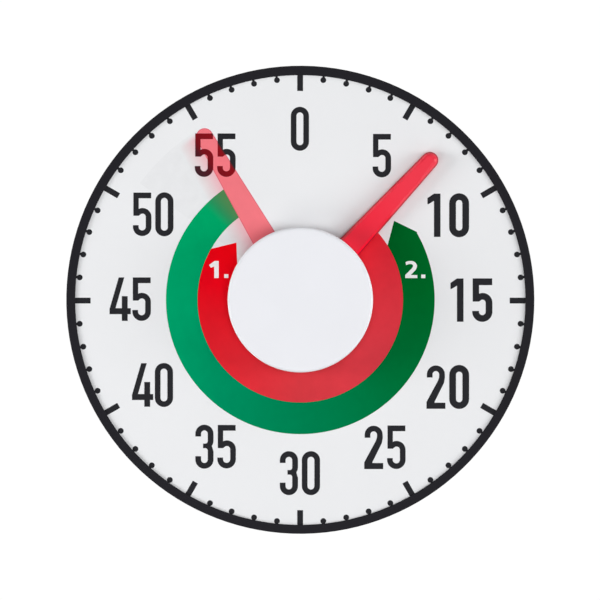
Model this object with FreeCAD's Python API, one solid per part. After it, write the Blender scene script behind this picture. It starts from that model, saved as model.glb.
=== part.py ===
import FreeCAD, Part
import math
import os

# Visual countdown timer for a classroom board: a round wall dial with a big knob, a red pointer and a
# spring driven sixty minute movement with a bell. Millimetres, Z up. The origin lies on the turning axis
# in the plane that rests on the board. The dial faces -Y, so a front level is a smaller Y than a rear one.

V = FreeCAD.Vector

# Fits and gaps
RUNNING_FIT = 0.05          # radial play of a shaft in its bearing
LOOSE_FIT = 0.3             # gap between moulded pieces that drop into each other
SIDE_PLAY = 0.1             # end play beside a shoulder

# Dial and rim
RIM_RADIUS = 150.0
RIM_FACE = 5.75             # width of the black ring seen from the front
RIM_PROUD = 1.2             # how far the ring stands in front of the dial
RIM_WALL = 2.2
RIM_EDGE = 0.4
DIAL_THICK = 2.5
DIAL_SPACE = 9.3            # hollow between the dial and the rear shell

# Rear shell and cover
DRUM_DEPTH = 18.0
DRUM_RADIUS = 80.0
DRUM_WALL = 2.2
SHELL_WALL = 2.2
SHELL_EDGE = 1.2
SHELL_LIP = 12.0            # ring of the shell inside the drum, which the drum is screwed to
COVER_THICK = 2.2
COVER_LEDGE = 3.0
COVER_LEDGE_THICK = 2.0
SPIGOT_HEIGHT = 2.5         # ring of the shell that centres the rim
SPIGOT_WALL = 2.0

# Ribs of the mouldings
RIB_THICK = 1.6
DIAL_RIB_HEIGHT = 4.0
DIAL_RIB_START = 60.0
RIB_COUNT = 6
HOOP_RIB_RADIUS = 104.0

# Case screws
CASE_SCREW_COUNT = 6
CASE_SCREW_INSET = 9.5      # from the dial's edge to the screws' circle
CASE_SCREW_RADIUS = 1.5
CASE_BOSS_RADIUS = 4.0
CASE_SCREW_LENGTH = 9.0
CASE_HEAD_RADIUS = 3.1
CASE_HEAD_HEIGHT = 1.8

# Posts of the drum, with a drum screw in front and a countersunk cover screw behind
POST_COUNT = 4
POST_INSET = 5.8            # from the drum's inner wall to the posts' circle
POST_RADIUS = 4.2
COVER_SCREW_RADIUS = 1.4
COVER_SCREW_LENGTH = 8.0
COVER_HEAD_RADIUS = 2.9
COVER_HEAD_SINK = 0.15
DRUM_SCREW_RADIUS = 1.4
DRUM_SCREW_LENGTH = 7.0
DRUM_HEAD_RADIUS = 2.8
DRUM_HEAD_HEIGHT = 1.6

# Holding magnets
MAGNET_COUNT = 4
MAGNET_INSET = 16.5         # from the cover's edge to the magnets' circle
MAGNET_RADIUS = 9.0
MAGNET_THICK = 5.0
CUP_WALL = 1.2
CUP_GAP = 0.3
POCKET_WALL = 2.0
POCKET_GAP = 0.1

# Hanger and sound slots in the cover
KEYHOLE_INSET = 21.5        # from the cover's edge to the middle of the round hole
KEYHOLE_RADIUS = 4.5
KEYHOLE_SLOT = 2.2          # half width of the slot
KEYHOLE_RISE = 10.0
SLOT_COUNT = 5
SLOT_PITCH = 5.5
SLOT_LENGTH = 26.0
SLOT_RADIUS = 1.1

# Knob
KNOB_RADIUS = 46.5
KNOB_HEIGHT = 17.2
KNOB_LIFT = 2.8             # gap between the knob and the dial
KNOB_WALL = 2.4
KNOB_EDGE = 1.8             # rounded front edge, in two steps
KNOB_EDGE_STEP = 0.55
KNOB_LIP = 0.4              # small bevel on the knob's rear edge
KNOB_HUB_RADIUS = 8.0
KNOB_RIB_COUNT = 6
KNOB_RIB_DEPTH = 6.0
KNOB_RIB_OFFSET = 30.0      # ribs of the knob and the hub stand beside the pointer, not under it
ARBOR_GRIP = 9.0            # length of the arbor inside the knob

# Pointer
POINTER_MINUTES = 7.15079   # reading in the photo, where the escape wheel is in step with zero
POINTER_REACH = 127.4
POINTER_TIP_RADIUS = 5.4
POINTER_ROOT = 24.0
POINTER_ROOT_RADIUS = 8.75
POINTER_BEVEL = 2.1
POINTER_HEIGHT = 4.4
POINTER_SIDE = 1.2          # upright part of the side below the bevel
POINTER_LIFT = 2.0
POINTER_WALL = 1.6
POINTER_HOLLOW_START = 50.0
HUB_THICK = 2.2
HUB_RIM_HEIGHT = 3.2
GLIDE_RING_OUTER = 22.0
GLIDE_RING_WALL = 3.0
GLIDE_WASHER_THICK = 1.0
GLIDE_WASHER_MARGIN = 3.0

# Screws that hold the pointer to the knob
KNOB_SCREW_COUNT = 3
KNOB_SCREW_INSET = 11.5     # from the hub's edge to the screws' circle
KNOB_SCREW_OFFSET = 60.0    # first screw, clockwise from the pointer
KNOB_SCREW_RADIUS = 1.5
KNOB_SCREW_LENGTH = 8.0
KNOB_HEAD_RADIUS = 3.0
KNOB_HEAD_HEIGHT = 1.6
KNOB_BOSS_RADIUS = 4.0

# End stop below the hub
TRAVEL = 347.952381         # degrees, 17 1/3 steps of the escape wheel short of a full turn
STOP_INSET = 6.0            # from the hub's edge to the stop pin's circle
STOP_BEARING = 180.0        # clockwise from twelve
STOP_PIN_RADIUS = 1.5
STOP_GAP = 0.12
LUG_DEPTH = 5.0

# Movement frame
MOVEMENT_GAP = 2.0          # between the dial and the front plate
PLATE_THICK = 1.2
PLATE_SPACE = 11.8
WINDOW_TURNS = (-24.0, -8.0, 8.0, 24.0)     # directions of the plates' windows beside their middle
WINDOW_INSET = 7.5          # from the rear plate's edge to the windows' outer ends
WINDOW_LENGTH = 14.5
WINDOW_RADIUS = 2.5
WINDOW_TAPER = 0.75
FRONT_PLATE_RADIUS = 52.0
REAR_PLATE_RADIUS = 44.0
PILLAR_INSET = 3.5          # from the rear plate's edge to the pillars' circle
PILLAR_ANGLES = (40.0, 130.0, 220.0, 280.0)
PILLAR_RADIUS = 2.5
PILLAR_SCREW_RADIUS = 1.2
PILLAR_SCREW_LENGTH = 5.0
PILLAR_HEAD_RADIUS = 2.4
PILLAR_HEAD_HEIGHT = 1.2
MOVEMENT_SCREW_INSET = 4.0  # from the front plate's edge to the screws' circle
MOVEMENT_SCREW_ANGLES = (10.0, 100.0, 190.0, 255.0)
MOVEMENT_SCREW_RADIUS = 1.5
MOVEMENT_SCREW_BITE = 1.4   # into the dial plate
MOVEMENT_HEAD_RADIUS = 2.9
MOVEMENT_HEAD_HEIGHT = 1.6
MOVEMENT_BOSS_RADIUS = 4.0

# Main arbor
ARBOR_RADIUS = 3.0
ARBOR_FLAT = 2.2            # flat of the D end, from the axis
ARBOR_FLANGE_RADIUS = 6.0
ARBOR_FLANGE_THICK = 0.6
BARREL_RADIUS = 4.0
REAR_PIVOT_RADIUS = 2.0
BUSH_WALL = 2.0
BUSH_FLANGE = 2.5
BUSH_FLANGE_THICK = 0.8
BUSH_REACH = 2.1            # into the hole of the dial

# Gear train: module, wheel teeth, pinion leaves
PRESSURE_ANGLE = math.radians(20.0)
TOOTH_SHIFT = 0.5
TIP_TRIM = 0.15
TOOTH_PLAY = 0.05           # taken off each tooth's thickness
MAIN_MODULE = 0.65
MAIN_TEETH = 64
SECOND_MODULE = 0.5
SECOND_TEETH = 60
THIRD_MODULE = 0.45
THIRD_TEETH = 56
LEAVES = 8
WHEEL_THICK = 1.0
SECOND_BEARING = -60.0      # directions of the train's steps, from +X
THIRD_BEARING = 11.4
ESCAPE_BEARING = 80.0
STAFF_RADIUS = 1.2
PIVOT_RADIUS = 0.75
PINION_LENGTH = 2.0
WHEEL_HUB_RADIUS = 2.6
WHEEL_RIM = 2.2
WHEEL_SPOKE = 2.0
SPOKE_COUNT = 4

# Levels of the train behind the front plate
CLUTCH_LEVEL = 0.3
CLUTCH_DEPTH = 1.0
CLUTCH_RADIUS = 8.0
CLUTCH_STOCK = 0.4
CLUTCH_LAND = 1.2           # flat ring at the washer's inner and outer edge
ESCAPE_LEVEL = 1.7
THIRD_LEVEL = 6.0
SECOND_LEVEL = 1.7          # in front of the rear plate

# Escape wheel and anchor
ESCAPE_TEETH = 18
ESCAPE_RADIUS = 8.0
ESCAPE_ROOT = 5.8
ESCAPE_TIP_ANGLE = 1.0
ESCAPE_ROOT_ANGLE = 5.0
PALLET_SPAN = 45.0          # each side of the line of centres
PALLET_PIN_RADIUS = 0.35
PALLET_CLEAR = 0.25
ANCHOR_BEARING = 100.0
ANCHOR_THICK = 0.8
ANCHOR_HUB_RADIUS = 2.0
ANCHOR_ROOT_RADIUS = 1.6    # of the arms at the hub
ANCHOR_ARM_RADIUS = 0.9
ANCHOR_TAIL = 5.0
ANCHOR_TAIL_RADIUS = 1.4

# Mainspring
SPRING_WIDTH = 5.0
SPRING_STOCK = 0.45
SPRING_PITCH = 2.2
SPRING_TURNS = 5
SPRING_POST_RADIUS = 1.8

# Bell and hammer behind the rear plate
BELL_X = -15.0
BELL_Z = 10.0
BELL_RADIUS = 25.0
BELL_RISE = 6.6
BELL_WALL = 1.0
BELL_LIFT = 2.5             # rim of the bell above the rear plate
BELL_POST_RADIUS = 3.0
BELL_SCREW_RADIUS = 1.5
BELL_SCREW_LENGTH = 6.0
BELL_HEAD_RADIUS = 3.0
BELL_HEAD_HEIGHT = 1.3
CAM_RADIUS = 6.0
CAM_LOBE = 8.7
CAM_THICK = 1.0
CAM_RAMP = 20.0             # degrees that the lobe covers
CAM_LAG = 3.0               # degrees past the nose when the pointer reads zero
NOSE_GAP = 0.3
HAMMER_X = 15.0
HAMMER_Z = -17.0
HAMMER_THICK = 0.8
HAMMER_WIDTH = 3.0
HAMMER_HUB_RADIUS = 3.4
HAMMER_PIVOT_RADIUS = 1.5
HAMMER_RIVET_RADIUS = 2.6
NOSE_RADIUS = 0.6
HAMMER_HEAD_RADIUS = 2.5
HAMMER_HEAD_LENGTH = 4.5
HAMMER_BEARING = 12.0       # direction from the bell to the hammer head
HAMMER_GAP = 0.4
LEAF_STOCK = 0.3
LEAF_POST_RADIUS = 1.4
LEAF_RUN = 9.0
LEAF_HEIGHT = 11.0          # where the leaf presses on the arm, above the pivot

# Levels along the axis
board = 0.0
shell_rear = board - DRUM_DEPTH
shell_front = shell_rear - SHELL_WALL
dial_rear = shell_front - DIAL_SPACE
dial_face = dial_rear - DIAL_THICK
rim_front = dial_face - RIM_PROUD
cover_front = board - COVER_THICK
plate_front = dial_rear + MOVEMENT_GAP
train_front = plate_front + PLATE_THICK
train_rear = train_front + PLATE_SPACE
plate_rear = train_rear + PLATE_THICK
knob_rear = dial_face - KNOB_LIFT
knob_front = knob_rear - KNOB_HEIGHT
arm_rear = dial_face - POINTER_LIFT
hub_front = arm_rear - POINTER_HEIGHT
hub_rear = hub_front + HUB_THICK
stop_pin_front = arm_rear + LOOSE_FIT
washer_front = dial_face - GLIDE_WASHER_THICK
main_wheel_front = train_front + CLUTCH_LEVEL + CLUTCH_DEPTH + SIDE_PLAY
main_wheel_rear = main_wheel_front + WHEEL_THICK
flange_rear = main_wheel_rear + SIDE_PLAY + ARBOR_FLANGE_THICK
spring_front = flange_rear + LOOSE_FIT
spring_rear = spring_front + SPRING_WIDTH
second_wheel_front = train_rear - SECOND_LEVEL
third_wheel_front = train_front + THIRD_LEVEL
escape_front = train_front + ESCAPE_LEVEL
anchor_front = escape_front + WHEEL_THICK + LOOSE_FIT
cam_front = plate_rear + LOOSE_FIT
cam_rear = cam_front + CAM_THICK
bell_rim = plate_rear + BELL_LIFT
bell_top = bell_rim + BELL_RISE
hammer_front = plate_rear + SIDE_PLAY

# Radii that follow from the sizes above
dial_radius = RIM_RADIUS - RIM_WALL - LOOSE_FIT
drum_inner = DRUM_RADIUS - DRUM_WALL
cover_radius = drum_inner - LOOSE_FIT
hub_radius = KNOB_RADIUS - KNOB_WALL - 2 * LOOSE_FIT
case_screw_circle = dial_radius - CASE_SCREW_INSET
post_circle = drum_inner - POST_INSET
magnet_circle = cover_radius - MAGNET_INSET
keyhole_height = cover_radius - KEYHOLE_INSET
knob_screw_circle = hub_radius - KNOB_SCREW_INSET
stop_circle = hub_radius - STOP_INSET
pillar_circle = REAR_PLATE_RADIUS - PILLAR_INSET
movement_screw_circle = FRONT_PLATE_RADIUS - MOVEMENT_SCREW_INSET
cup_radius = MAGNET_RADIUS + CUP_GAP + CUP_WALL
cup_depth = MAGNET_THICK + CUP_WALL
bush_radius = ARBOR_RADIUS + RUNNING_FIT + BUSH_WALL
nose_reach = CAM_LOBE + NOSE_GAP
pallet_circle = ESCAPE_RADIUS + PALLET_PIN_RADIUS + PALLET_CLEAR


def polar(radius, degrees, centre=(0.0, 0.0)):
    """Point (x, z) at a radius and an angle from +X towards +Z."""
    angle = math.radians(degrees)
    return centre[0] + radius * math.cos(angle), centre[1] + radius * math.sin(angle)


def clock(radius, degrees):
    """Point (x, z) at a radius and an angle clockwise from twelve, seen from the front."""
    return polar(radius, 90.0 - degrees)


def disc(radius, front, rear, centre=(0.0, 0.0)):
    """Cylinder along Y between two levels."""
    return Part.makeCylinder(radius, rear - front, V(centre[0], front, centre[1]), V(0, 1, 0))


def tube(outer, inner, front, rear, centre=(0.0, 0.0)):
    """Hollow cylinder along Y between two levels."""
    return disc(outer, front, rear, centre).cut(disc(inner, front, rear, centre))


def cone(front_radius, rear_radius, front, rear, centre=(0.0, 0.0)):
    """Cone along Y between two levels."""
    base = V(centre[0], front, centre[1])
    return Part.makeCone(front_radius, rear_radius, rear - front, base, V(0, 1, 0))


def joined(first, *others):
    """One solid from pieces that run into each other."""
    return first.fuse(list(others)).removeSplitter()


def without(body, *tools):
    """Body with the tools cut out of it."""
    return body.cut(list(tools))


def turned(shape, degrees):
    """Copy of a shape turned clockwise about the main axis, seen from the front."""
    copy = shape.copy()
    copy.rotate(V(0, 0, 0), V(0, 1, 0), degrees)
    return copy


def bar(start, end, width, front, rear):
    """Flat bar between two (x, z) points, with square ends."""
    length = math.dist(start, end)
    box = Part.makeBox(length, rear - front, width, V(0, front, -width / 2))
    box.rotate(V(0, 0, 0), V(0, -1, 0), math.degrees(math.atan2(end[1] - start[1], end[0] - start[0])))
    box.translate(V(start[0], 0, start[1]))
    return box


def spun(corners):
    """Solid of revolution about Y from corners (radius, y)."""
    points = [V(radius, y, 0) for radius, y in corners]
    return Part.Face(Part.makePolygon(points + points[:1])).revolve(V(0, 0, 0), V(0, 1, 0), 360)


def link_wire(start, start_radius, end, end_radius, level):
    """Outline of two circles joined by their outer tangents."""
    run = V(end[0] - start[0], 0, end[1] - start[1])
    along = V(run).normalize()
    across = V(-along.z, 0, along.x)
    lean = math.asin((start_radius - end_radius) / run.Length)
    side_a = across * math.cos(lean) + along * math.sin(lean)
    side_b = along * math.sin(lean) - across * math.cos(lean)
    first = V(start[0], level, start[1])
    last = V(end[0], level, end[1])
    start_a = first + side_a * start_radius
    start_b = first + side_b * start_radius
    end_a = last + side_a * end_radius
    end_b = last + side_b * end_radius
    return Part.Wire([
        Part.Arc(start_b, first - along * start_radius, start_a).toShape(),
        Part.makeLine(start_a, end_a),
        Part.Arc(end_a, last + along * end_radius, end_b).toShape(),
        Part.makeLine(end_b, start_b),
    ])


def raised(wire, depth):
    """Solid of a flat outline carried rearwards by a depth."""
    return Part.Face(wire).extrude(V(0, depth, 0))


def link(start, start_radius, end, end_radius, front, rear):
    """Tapered arm with round ends."""
    return raised(link_wire(start, start_radius, end, end_radius, front), rear - front)


def slot(start, end, radius, front, rear):
    """Round ended slot."""
    return link(start, radius, end, radius, front, rear)


def pan_screw(centre, seat, shank, length, head_radius, head_height, facing):
    """Screw with a flat head; facing is +1 when the head looks to the rear and -1 to the front."""
    corners = (
        (0, -length), (shank, -length), (shank, 0), (head_radius, 0), (head_radius, head_height),
        (0, head_height),
    )
    screw = spun([(radius, seat + facing * level) for radius, level in corners])
    screw.translate(V(centre[0], 0, centre[1]))
    return screw


def on_circle(count, radius, offset=0.0):
    """Evenly spaced (x, z) points on a circle about the axis."""
    return [clock(radius, offset + index * 360.0 / count) for index in range(count)]


def involute(radius, base):
    """Angle that an involute has turned through where it reaches a radius."""
    roll = math.sqrt(max(0.0, (radius / base) ** 2 - 1))
    return roll - math.atan(roll)


def toothed_wire(teeth, module, shift, trim, centre, facing, level):
    """Outline of a spur gear with a tooth pointing at the facing angle, its flanks as arcs."""
    pitch = teeth * module / 2
    base = pitch * math.cos(PRESSURE_ANGLE)
    tip = pitch + module * (1 + shift - trim)
    root = pitch - module * (1.25 - shift)
    half = (math.pi / 2 + 2 * shift * math.tan(PRESSURE_ANGLE)) / teeth
    half += involute(1 / math.cos(PRESSURE_ANGLE), 1) - TOOTH_PLAY / (2 * pitch)
    foot = max(root, base)
    radii = (foot, (foot + tip) / 2, tip)
    spread = [math.degrees(half - involute(radius, base)) for radius in radii]
    step = 360.0 / teeth

    def spot(radius, angle):
        x, z = polar(radius, facing + angle, centre)
        return V(x, level, z)

    edges = []
    for index in range(teeth):
        middle = index * step
        rise = [spot(radius, middle - angle) for radius, angle in zip(radii, spread)]
        fall = [spot(radius, middle + angle) for radius, angle in zip(radii, spread)][::-1]
        if foot > root:
            edges.append(Part.makeLine(spot(root, middle - spread[0]), rise[0]))
        edges.append(Part.Arc(*rise).toShape())
        edges.append(Part.makeLine(rise[2], fall[0]))
        edges.append(Part.Arc(*fall).toShape())
        if foot > root:
            edges.append(Part.makeLine(fall[2], spot(root, middle + spread[0])))
        edges.append(Part.makeLine(spot(root, middle + spread[0]), spot(root, middle + step - spread[0])))
    return Part.Wire(edges)


def spoked(wheel, root_radius, hub_radius_here, front, centre, bore):
    """Wheel blank with windows between its spokes and a bore."""
    rear = front + WHEEL_THICK
    windows = tube(root_radius - WHEEL_RIM, hub_radius_here, front, rear, centre)
    for index in range(SPOKE_COUNT):
        end = polar(root_radius, index * 360.0 / SPOKE_COUNT, centre)
        windows = windows.cut(bar(centre, end, WHEEL_SPOKE, front, rear))
    return without(wheel, windows, disc(bore, front, rear, centre))


def wheel_root(teeth, module):
    """Root radius of a wheel, whose teeth are shifted inwards."""
    return teeth * module / 2 - module * (1.25 + TOOTH_SHIFT)


def train_wheel(teeth, module, centre, facing, front, hub, bore):
    """Spoked wheel with a tooth on the line to its pinion."""
    outline = toothed_wire(teeth, module, -TOOTH_SHIFT, 0.0, centre, facing, front)
    return spoked(raised(outline, WHEEL_THICK), wheel_root(teeth, module), hub, front, centre, bore)


def pinion(module, centre, towards, front, rear):
    """Leaf pinion with a gap on the line to its wheel."""
    facing = towards + 180.0 / LEAVES
    outline = toothed_wire(LEAVES, module, TOOTH_SHIFT, TIP_TRIM, centre, facing, front)
    return raised(outline, rear - front)


def staff(centre, pinion_solid):
    """Arbor between the two plates with a pivot at each end and its pinion."""
    return joined(
        disc(STAFF_RADIUS, train_front + SIDE_PLAY, train_rear - SIDE_PLAY, centre),
        disc(PIVOT_RADIUS, plate_front, plate_rear, centre),
        pinion_solid,
    )


def pitch_distance(teeth, module):
    """Distance between a wheel and its pinion."""
    return (teeth + LEAVES) * module / 2


# Places of the train's arbors
second_centre = polar(pitch_distance(MAIN_TEETH, MAIN_MODULE), SECOND_BEARING)
third_centre = polar(pitch_distance(SECOND_TEETH, SECOND_MODULE), THIRD_BEARING, second_centre)
escape_centre = polar(pitch_distance(THIRD_TEETH, THIRD_MODULE), ESCAPE_BEARING, third_centre)
anchor_distance = pallet_circle / math.cos(math.radians(PALLET_SPAN))
anchor_centre = polar(anchor_distance, ANCHOR_BEARING, escape_centre)
pillar_spots = [polar(pillar_circle, angle) for angle in PILLAR_ANGLES]
movement_screw_spots = [polar(movement_screw_circle, angle) for angle in MOVEMENT_SCREW_ANGLES]
bell_centre = (BELL_X, BELL_Z)
hammer_centre = (HAMMER_X, HAMMER_Z)
hammer_head_centre = polar(BELL_RADIUS + HAMMER_GAP + HAMMER_HEAD_RADIUS, HAMMER_BEARING, bell_centre)
spring_outer = BARREL_RADIUS + SIDE_PLAY + SPRING_STOCK / 2 + SPRING_TURNS * SPRING_PITCH
spring_post_centre = (spring_outer + SPRING_POST_RADIUS / 2, 0.0)


def rim_ring():
    """Black ring that wraps the dial's edge and is clamped between the dial and the shell."""
    inner = RIM_RADIUS - RIM_WALL
    face = RIM_RADIUS - RIM_FACE
    return spun([
        (face, rim_front), (RIM_RADIUS - RIM_EDGE, rim_front), (RIM_RADIUS, rim_front + RIM_EDGE),
        (RIM_RADIUS, shell_front), (inner, shell_front), (inner, dial_face), (face, dial_face),
    ])


def ribs(count, start, end, front, rear, offset=0.0):
    """Radial ribs between two radii."""
    return [bar(clock(start, offset + index * 360.0 / count), clock(end, offset + index * 360.0 / count),
                RIB_THICK, front, rear) for index in range(count)]


def dial_plate():
    """White dial with the ribs and screw bosses on its rear side."""
    half_step = 180.0 / CASE_SCREW_COUNT
    plate = disc(dial_radius, dial_face, dial_rear)
    rib_rear = dial_rear + DIAL_RIB_HEIGHT
    hoop = tube(HOOP_RIB_RADIUS + RIB_THICK / 2, HOOP_RIB_RADIUS - RIB_THICK / 2, dial_rear, rib_rear)
    spokes = ribs(RIB_COUNT, DIAL_RIB_START, case_screw_circle, dial_rear, rib_rear, half_step)
    case_spots = on_circle(CASE_SCREW_COUNT, case_screw_circle, half_step)
    posts = [disc(CASE_BOSS_RADIUS, dial_rear, shell_front, spot) for spot in case_spots]
    posts += [disc(MOVEMENT_BOSS_RADIUS, dial_rear, plate_front, spot) for spot in movement_screw_spots]
    holes = [
        disc(CASE_SCREW_RADIUS + RUNNING_FIT, shell_rear - CASE_SCREW_LENGTH - SIDE_PLAY, shell_front, spot)
        for spot in case_spots
    ]
    holes += [
        disc(MOVEMENT_SCREW_RADIUS + RUNNING_FIT, dial_rear - MOVEMENT_SCREW_BITE - SIDE_PLAY, plate_front,
             spot) for spot in movement_screw_spots
    ]
    holes.append(disc(bush_radius + LOOSE_FIT, dial_face, dial_rear))
    holes.append(disc(STOP_PIN_RADIUS, dial_face, dial_rear, clock(stop_circle, STOP_BEARING)))
    return without(joined(plate, hoop, *spokes, *posts), *holes)


def rear_shell():
    """Black rear shell: a flat pan with the spigot that centres the rim and a lip that carries the drum."""
    half_step = 180.0 / CASE_SCREW_COUNT
    low_rib = shell_front - SPIGOT_HEIGHT
    opening = drum_inner - SHELL_LIP
    shell = spun([
        (opening, shell_rear), (RIM_RADIUS - SHELL_EDGE, shell_rear), (RIM_RADIUS, shell_rear - SHELL_EDGE),
        (RIM_RADIUS, shell_front), (dial_radius, shell_front), (dial_radius, low_rib),
        (dial_radius - SPIGOT_WALL, low_rib), (dial_radius - SPIGOT_WALL, shell_front),
        (opening, shell_front),
    ])
    webs = ribs(RIB_COUNT, DRUM_RADIUS, dial_radius - SPIGOT_WALL / 2, low_rib, shell_front)
    bores = [disc(DRUM_SCREW_RADIUS + RUNNING_FIT, shell_front, shell_rear, spot) for spot in post_spots()]
    bores += [
        disc(CASE_SCREW_RADIUS + RUNNING_FIT, shell_front, shell_rear, spot)
        for spot in on_circle(CASE_SCREW_COUNT, case_screw_circle, half_step)
    ]
    return without(joined(shell, *webs), *bores)


def post_spots():
    """Places of the drum's posts."""
    return on_circle(POST_COUNT, post_circle)


def movement_drum():
    """Black drum round the movement, with a ledge for the cover and posts for the screws."""
    drum = spun([
        (drum_inner, shell_rear), (DRUM_RADIUS, shell_rear), (DRUM_RADIUS, board - SHELL_EDGE),
        (DRUM_RADIUS - SHELL_EDGE, board), (drum_inner, board),
    ])
    wall_middle = drum_inner + DRUM_WALL / 2
    ledge = tube(wall_middle, drum_inner - COVER_LEDGE, cover_front - COVER_LEDGE_THICK, cover_front)
    posts = []
    for index, spot in enumerate(post_spots()):
        edge = clock(wall_middle, index * 360.0 / POST_COUNT)
        posts.append(disc(POST_RADIUS, shell_rear, cover_front, spot))
        posts.append(bar(spot, edge, POST_RADIUS, shell_rear, cover_front))
    drills = []
    for spot in post_spots():
        rear_drill = board - COVER_HEAD_SINK - COVER_SCREW_LENGTH - SIDE_PLAY
        front_drill = shell_front + DRUM_SCREW_LENGTH + SIDE_PLAY
        drills.append(disc(COVER_SCREW_RADIUS + RUNNING_FIT, rear_drill, board, spot))
        drills.append(disc(DRUM_SCREW_RADIUS + RUNNING_FIT, shell_rear, front_drill, spot))
    return without(joined(drum, ledge, *posts), *drills)


def drum_screws():
    """Four screws from inside the shell into the drum's posts."""
    return Part.makeCompound([
        pan_screw(spot, shell_front, DRUM_SCREW_RADIUS, DRUM_SCREW_LENGTH, DRUM_HEAD_RADIUS,
                  DRUM_HEAD_HEIGHT, -1) for spot in post_spots()
    ])


def magnet_spots():
    """Places of the four holding magnets."""
    return on_circle(MAGNET_COUNT, magnet_circle, 180.0 / MAGNET_COUNT)


def back_cover():
    """Round cover with the magnet pockets, the hanger keyhole and the bell's sound slots."""
    cover = disc(cover_radius, cover_front, board)
    pocket_radius = cup_radius + POCKET_GAP
    floor = board - cup_depth - POCKET_GAP
    pockets = [disc(pocket_radius + POCKET_WALL, floor - POCKET_WALL, cover_front, spot)
               for spot in magnet_spots()]
    cuts = [disc(pocket_radius, floor, board, spot) for spot in magnet_spots()]
    cuts.append(disc(KEYHOLE_RADIUS, cover_front, board, (0.0, keyhole_height)))
    cuts.append(slot((0.0, keyhole_height), (0.0, keyhole_height + KEYHOLE_RISE), KEYHOLE_SLOT,
                     cover_front, board))
    for index in range(SLOT_COUNT):
        height = BELL_Z + (index - (SLOT_COUNT - 1) / 2) * SLOT_PITCH
        left = BELL_X - SLOT_LENGTH / 2 - BELL_POST_RADIUS
        cuts.append(slot((left, height), (left + SLOT_LENGTH, height), SLOT_RADIUS, cover_front, board))
    for spot in post_spots():
        clear = COVER_SCREW_RADIUS + RUNNING_FIT
        cuts.append(disc(clear, cover_front, board, spot))
        wide = COVER_HEAD_RADIUS + RUNNING_FIT + COVER_HEAD_SINK
        cuts.append(cone(clear, wide, board - (wide - clear), board, spot))
    return without(joined(cover, *pockets), *cuts)


def back_cover_screws():
    """Four countersunk screws."""
    screws = []
    top = board - COVER_HEAD_SINK
    sink = COVER_HEAD_RADIUS - COVER_SCREW_RADIUS
    for x, z in post_spots():
        screw = spun([
            (0, top - COVER_SCREW_LENGTH), (COVER_SCREW_RADIUS, top - COVER_SCREW_LENGTH),
            (COVER_SCREW_RADIUS, top - sink), (COVER_HEAD_RADIUS, top), (0, top),
        ])
        screw.translate(V(x, 0, z))
        screws.append(screw)
    return Part.makeCompound(screws)


def case_screws():
    """Six screws through the shell into the bosses of the dial."""
    spots = on_circle(CASE_SCREW_COUNT, case_screw_circle, 180.0 / CASE_SCREW_COUNT)
    return Part.makeCompound([
        pan_screw(spot, shell_rear, CASE_SCREW_RADIUS, CASE_SCREW_LENGTH, CASE_HEAD_RADIUS,
                  CASE_HEAD_HEIGHT, 1) for spot in spots
    ])


def magnets():
    """Four disc magnets flush with the resting plane."""
    return Part.makeCompound([disc(MAGNET_RADIUS, board - MAGNET_THICK, board, spot)
                              for spot in magnet_spots()])


def magnet_cups():
    """Steel cups round the magnets, open to the board."""
    cups = []
    for spot in magnet_spots():
        blank = disc(cup_radius, board - cup_depth, board, spot)
        cups.append(blank.cut(disc(MAGNET_RADIUS + CUP_GAP, board - MAGNET_THICK, board, spot)))
    return Part.makeCompound(cups)


def knob_cap():
    """White knob: a deep cap with a hub for the arbor, screw bosses, ribs and a notch for the pointer."""
    inner = KNOB_RADIUS - KNOB_WALL
    ceiling = knob_front + KNOB_WALL
    shell = spun([
        (0, knob_front), (KNOB_RADIUS - KNOB_EDGE, knob_front),
        (KNOB_RADIUS - KNOB_EDGE_STEP, knob_front + KNOB_EDGE_STEP), (KNOB_RADIUS, knob_front + KNOB_EDGE),
        (KNOB_RADIUS, knob_rear - KNOB_LIP), (KNOB_RADIUS - KNOB_LIP, knob_rear), (inner, knob_rear),
        (inner, ceiling), (0, ceiling),
    ])
    hub = disc(KNOB_HUB_RADIUS, ceiling, hub_front)
    posts = [disc(KNOB_BOSS_RADIUS, ceiling, hub_front, spot) for spot in knob_screw_spots()]
    webs = ribs(KNOB_RIB_COUNT, 0.0, inner + KNOB_WALL / 2, ceiling, ceiling + KNOB_RIB_DEPTH,
                KNOB_RIB_OFFSET)
    cap = joined(shell, hub, *posts, *webs)
    arbor_end = hub_front - ARBOR_GRIP
    bore = disc(ARBOR_RADIUS + RUNNING_FIT, arbor_end - SIDE_PLAY, hub_front)
    bore = bore.cut(flat_block(ARBOR_FLAT + RUNNING_FIT, arbor_end - SIDE_PLAY, hub_front))
    drills = [
        disc(KNOB_SCREW_RADIUS + RUNNING_FIT, hub_rear - KNOB_SCREW_LENGTH - SIDE_PLAY, hub_front, spot)
        for spot in knob_screw_spots()
    ]
    notch = link((0.0, POINTER_ROOT), POINTER_ROOT_RADIUS + LOOSE_FIT, (0.0, tip_centre()),
                 POINTER_TIP_RADIUS + LOOSE_FIT, hub_front - LOOSE_FIT, knob_rear)
    notch = notch.cut(disc(inner, hub_front - LOOSE_FIT, knob_rear))
    return turned(without(cap, bore, *drills, notch), pointer_angle())


def flat_block(distance, front, rear):
    """Block beyond the flat of the arbor's D end."""
    reach = 2 * ARBOR_RADIUS
    return Part.makeBox(2 * reach, rear - front, reach, V(-reach, front, distance))


def pointer_angle():
    """Rest angle of the pointer clockwise from twelve."""
    return POINTER_MINUTES * 6.0


def tip_centre():
    """Centre of the pointer's round tip."""
    return POINTER_REACH - POINTER_TIP_RADIUS


def knob_screw_spots():
    """Places of the knob screws while the pointer points at twelve."""
    return on_circle(KNOB_SCREW_COUNT, knob_screw_circle, KNOB_SCREW_OFFSET)


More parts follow.
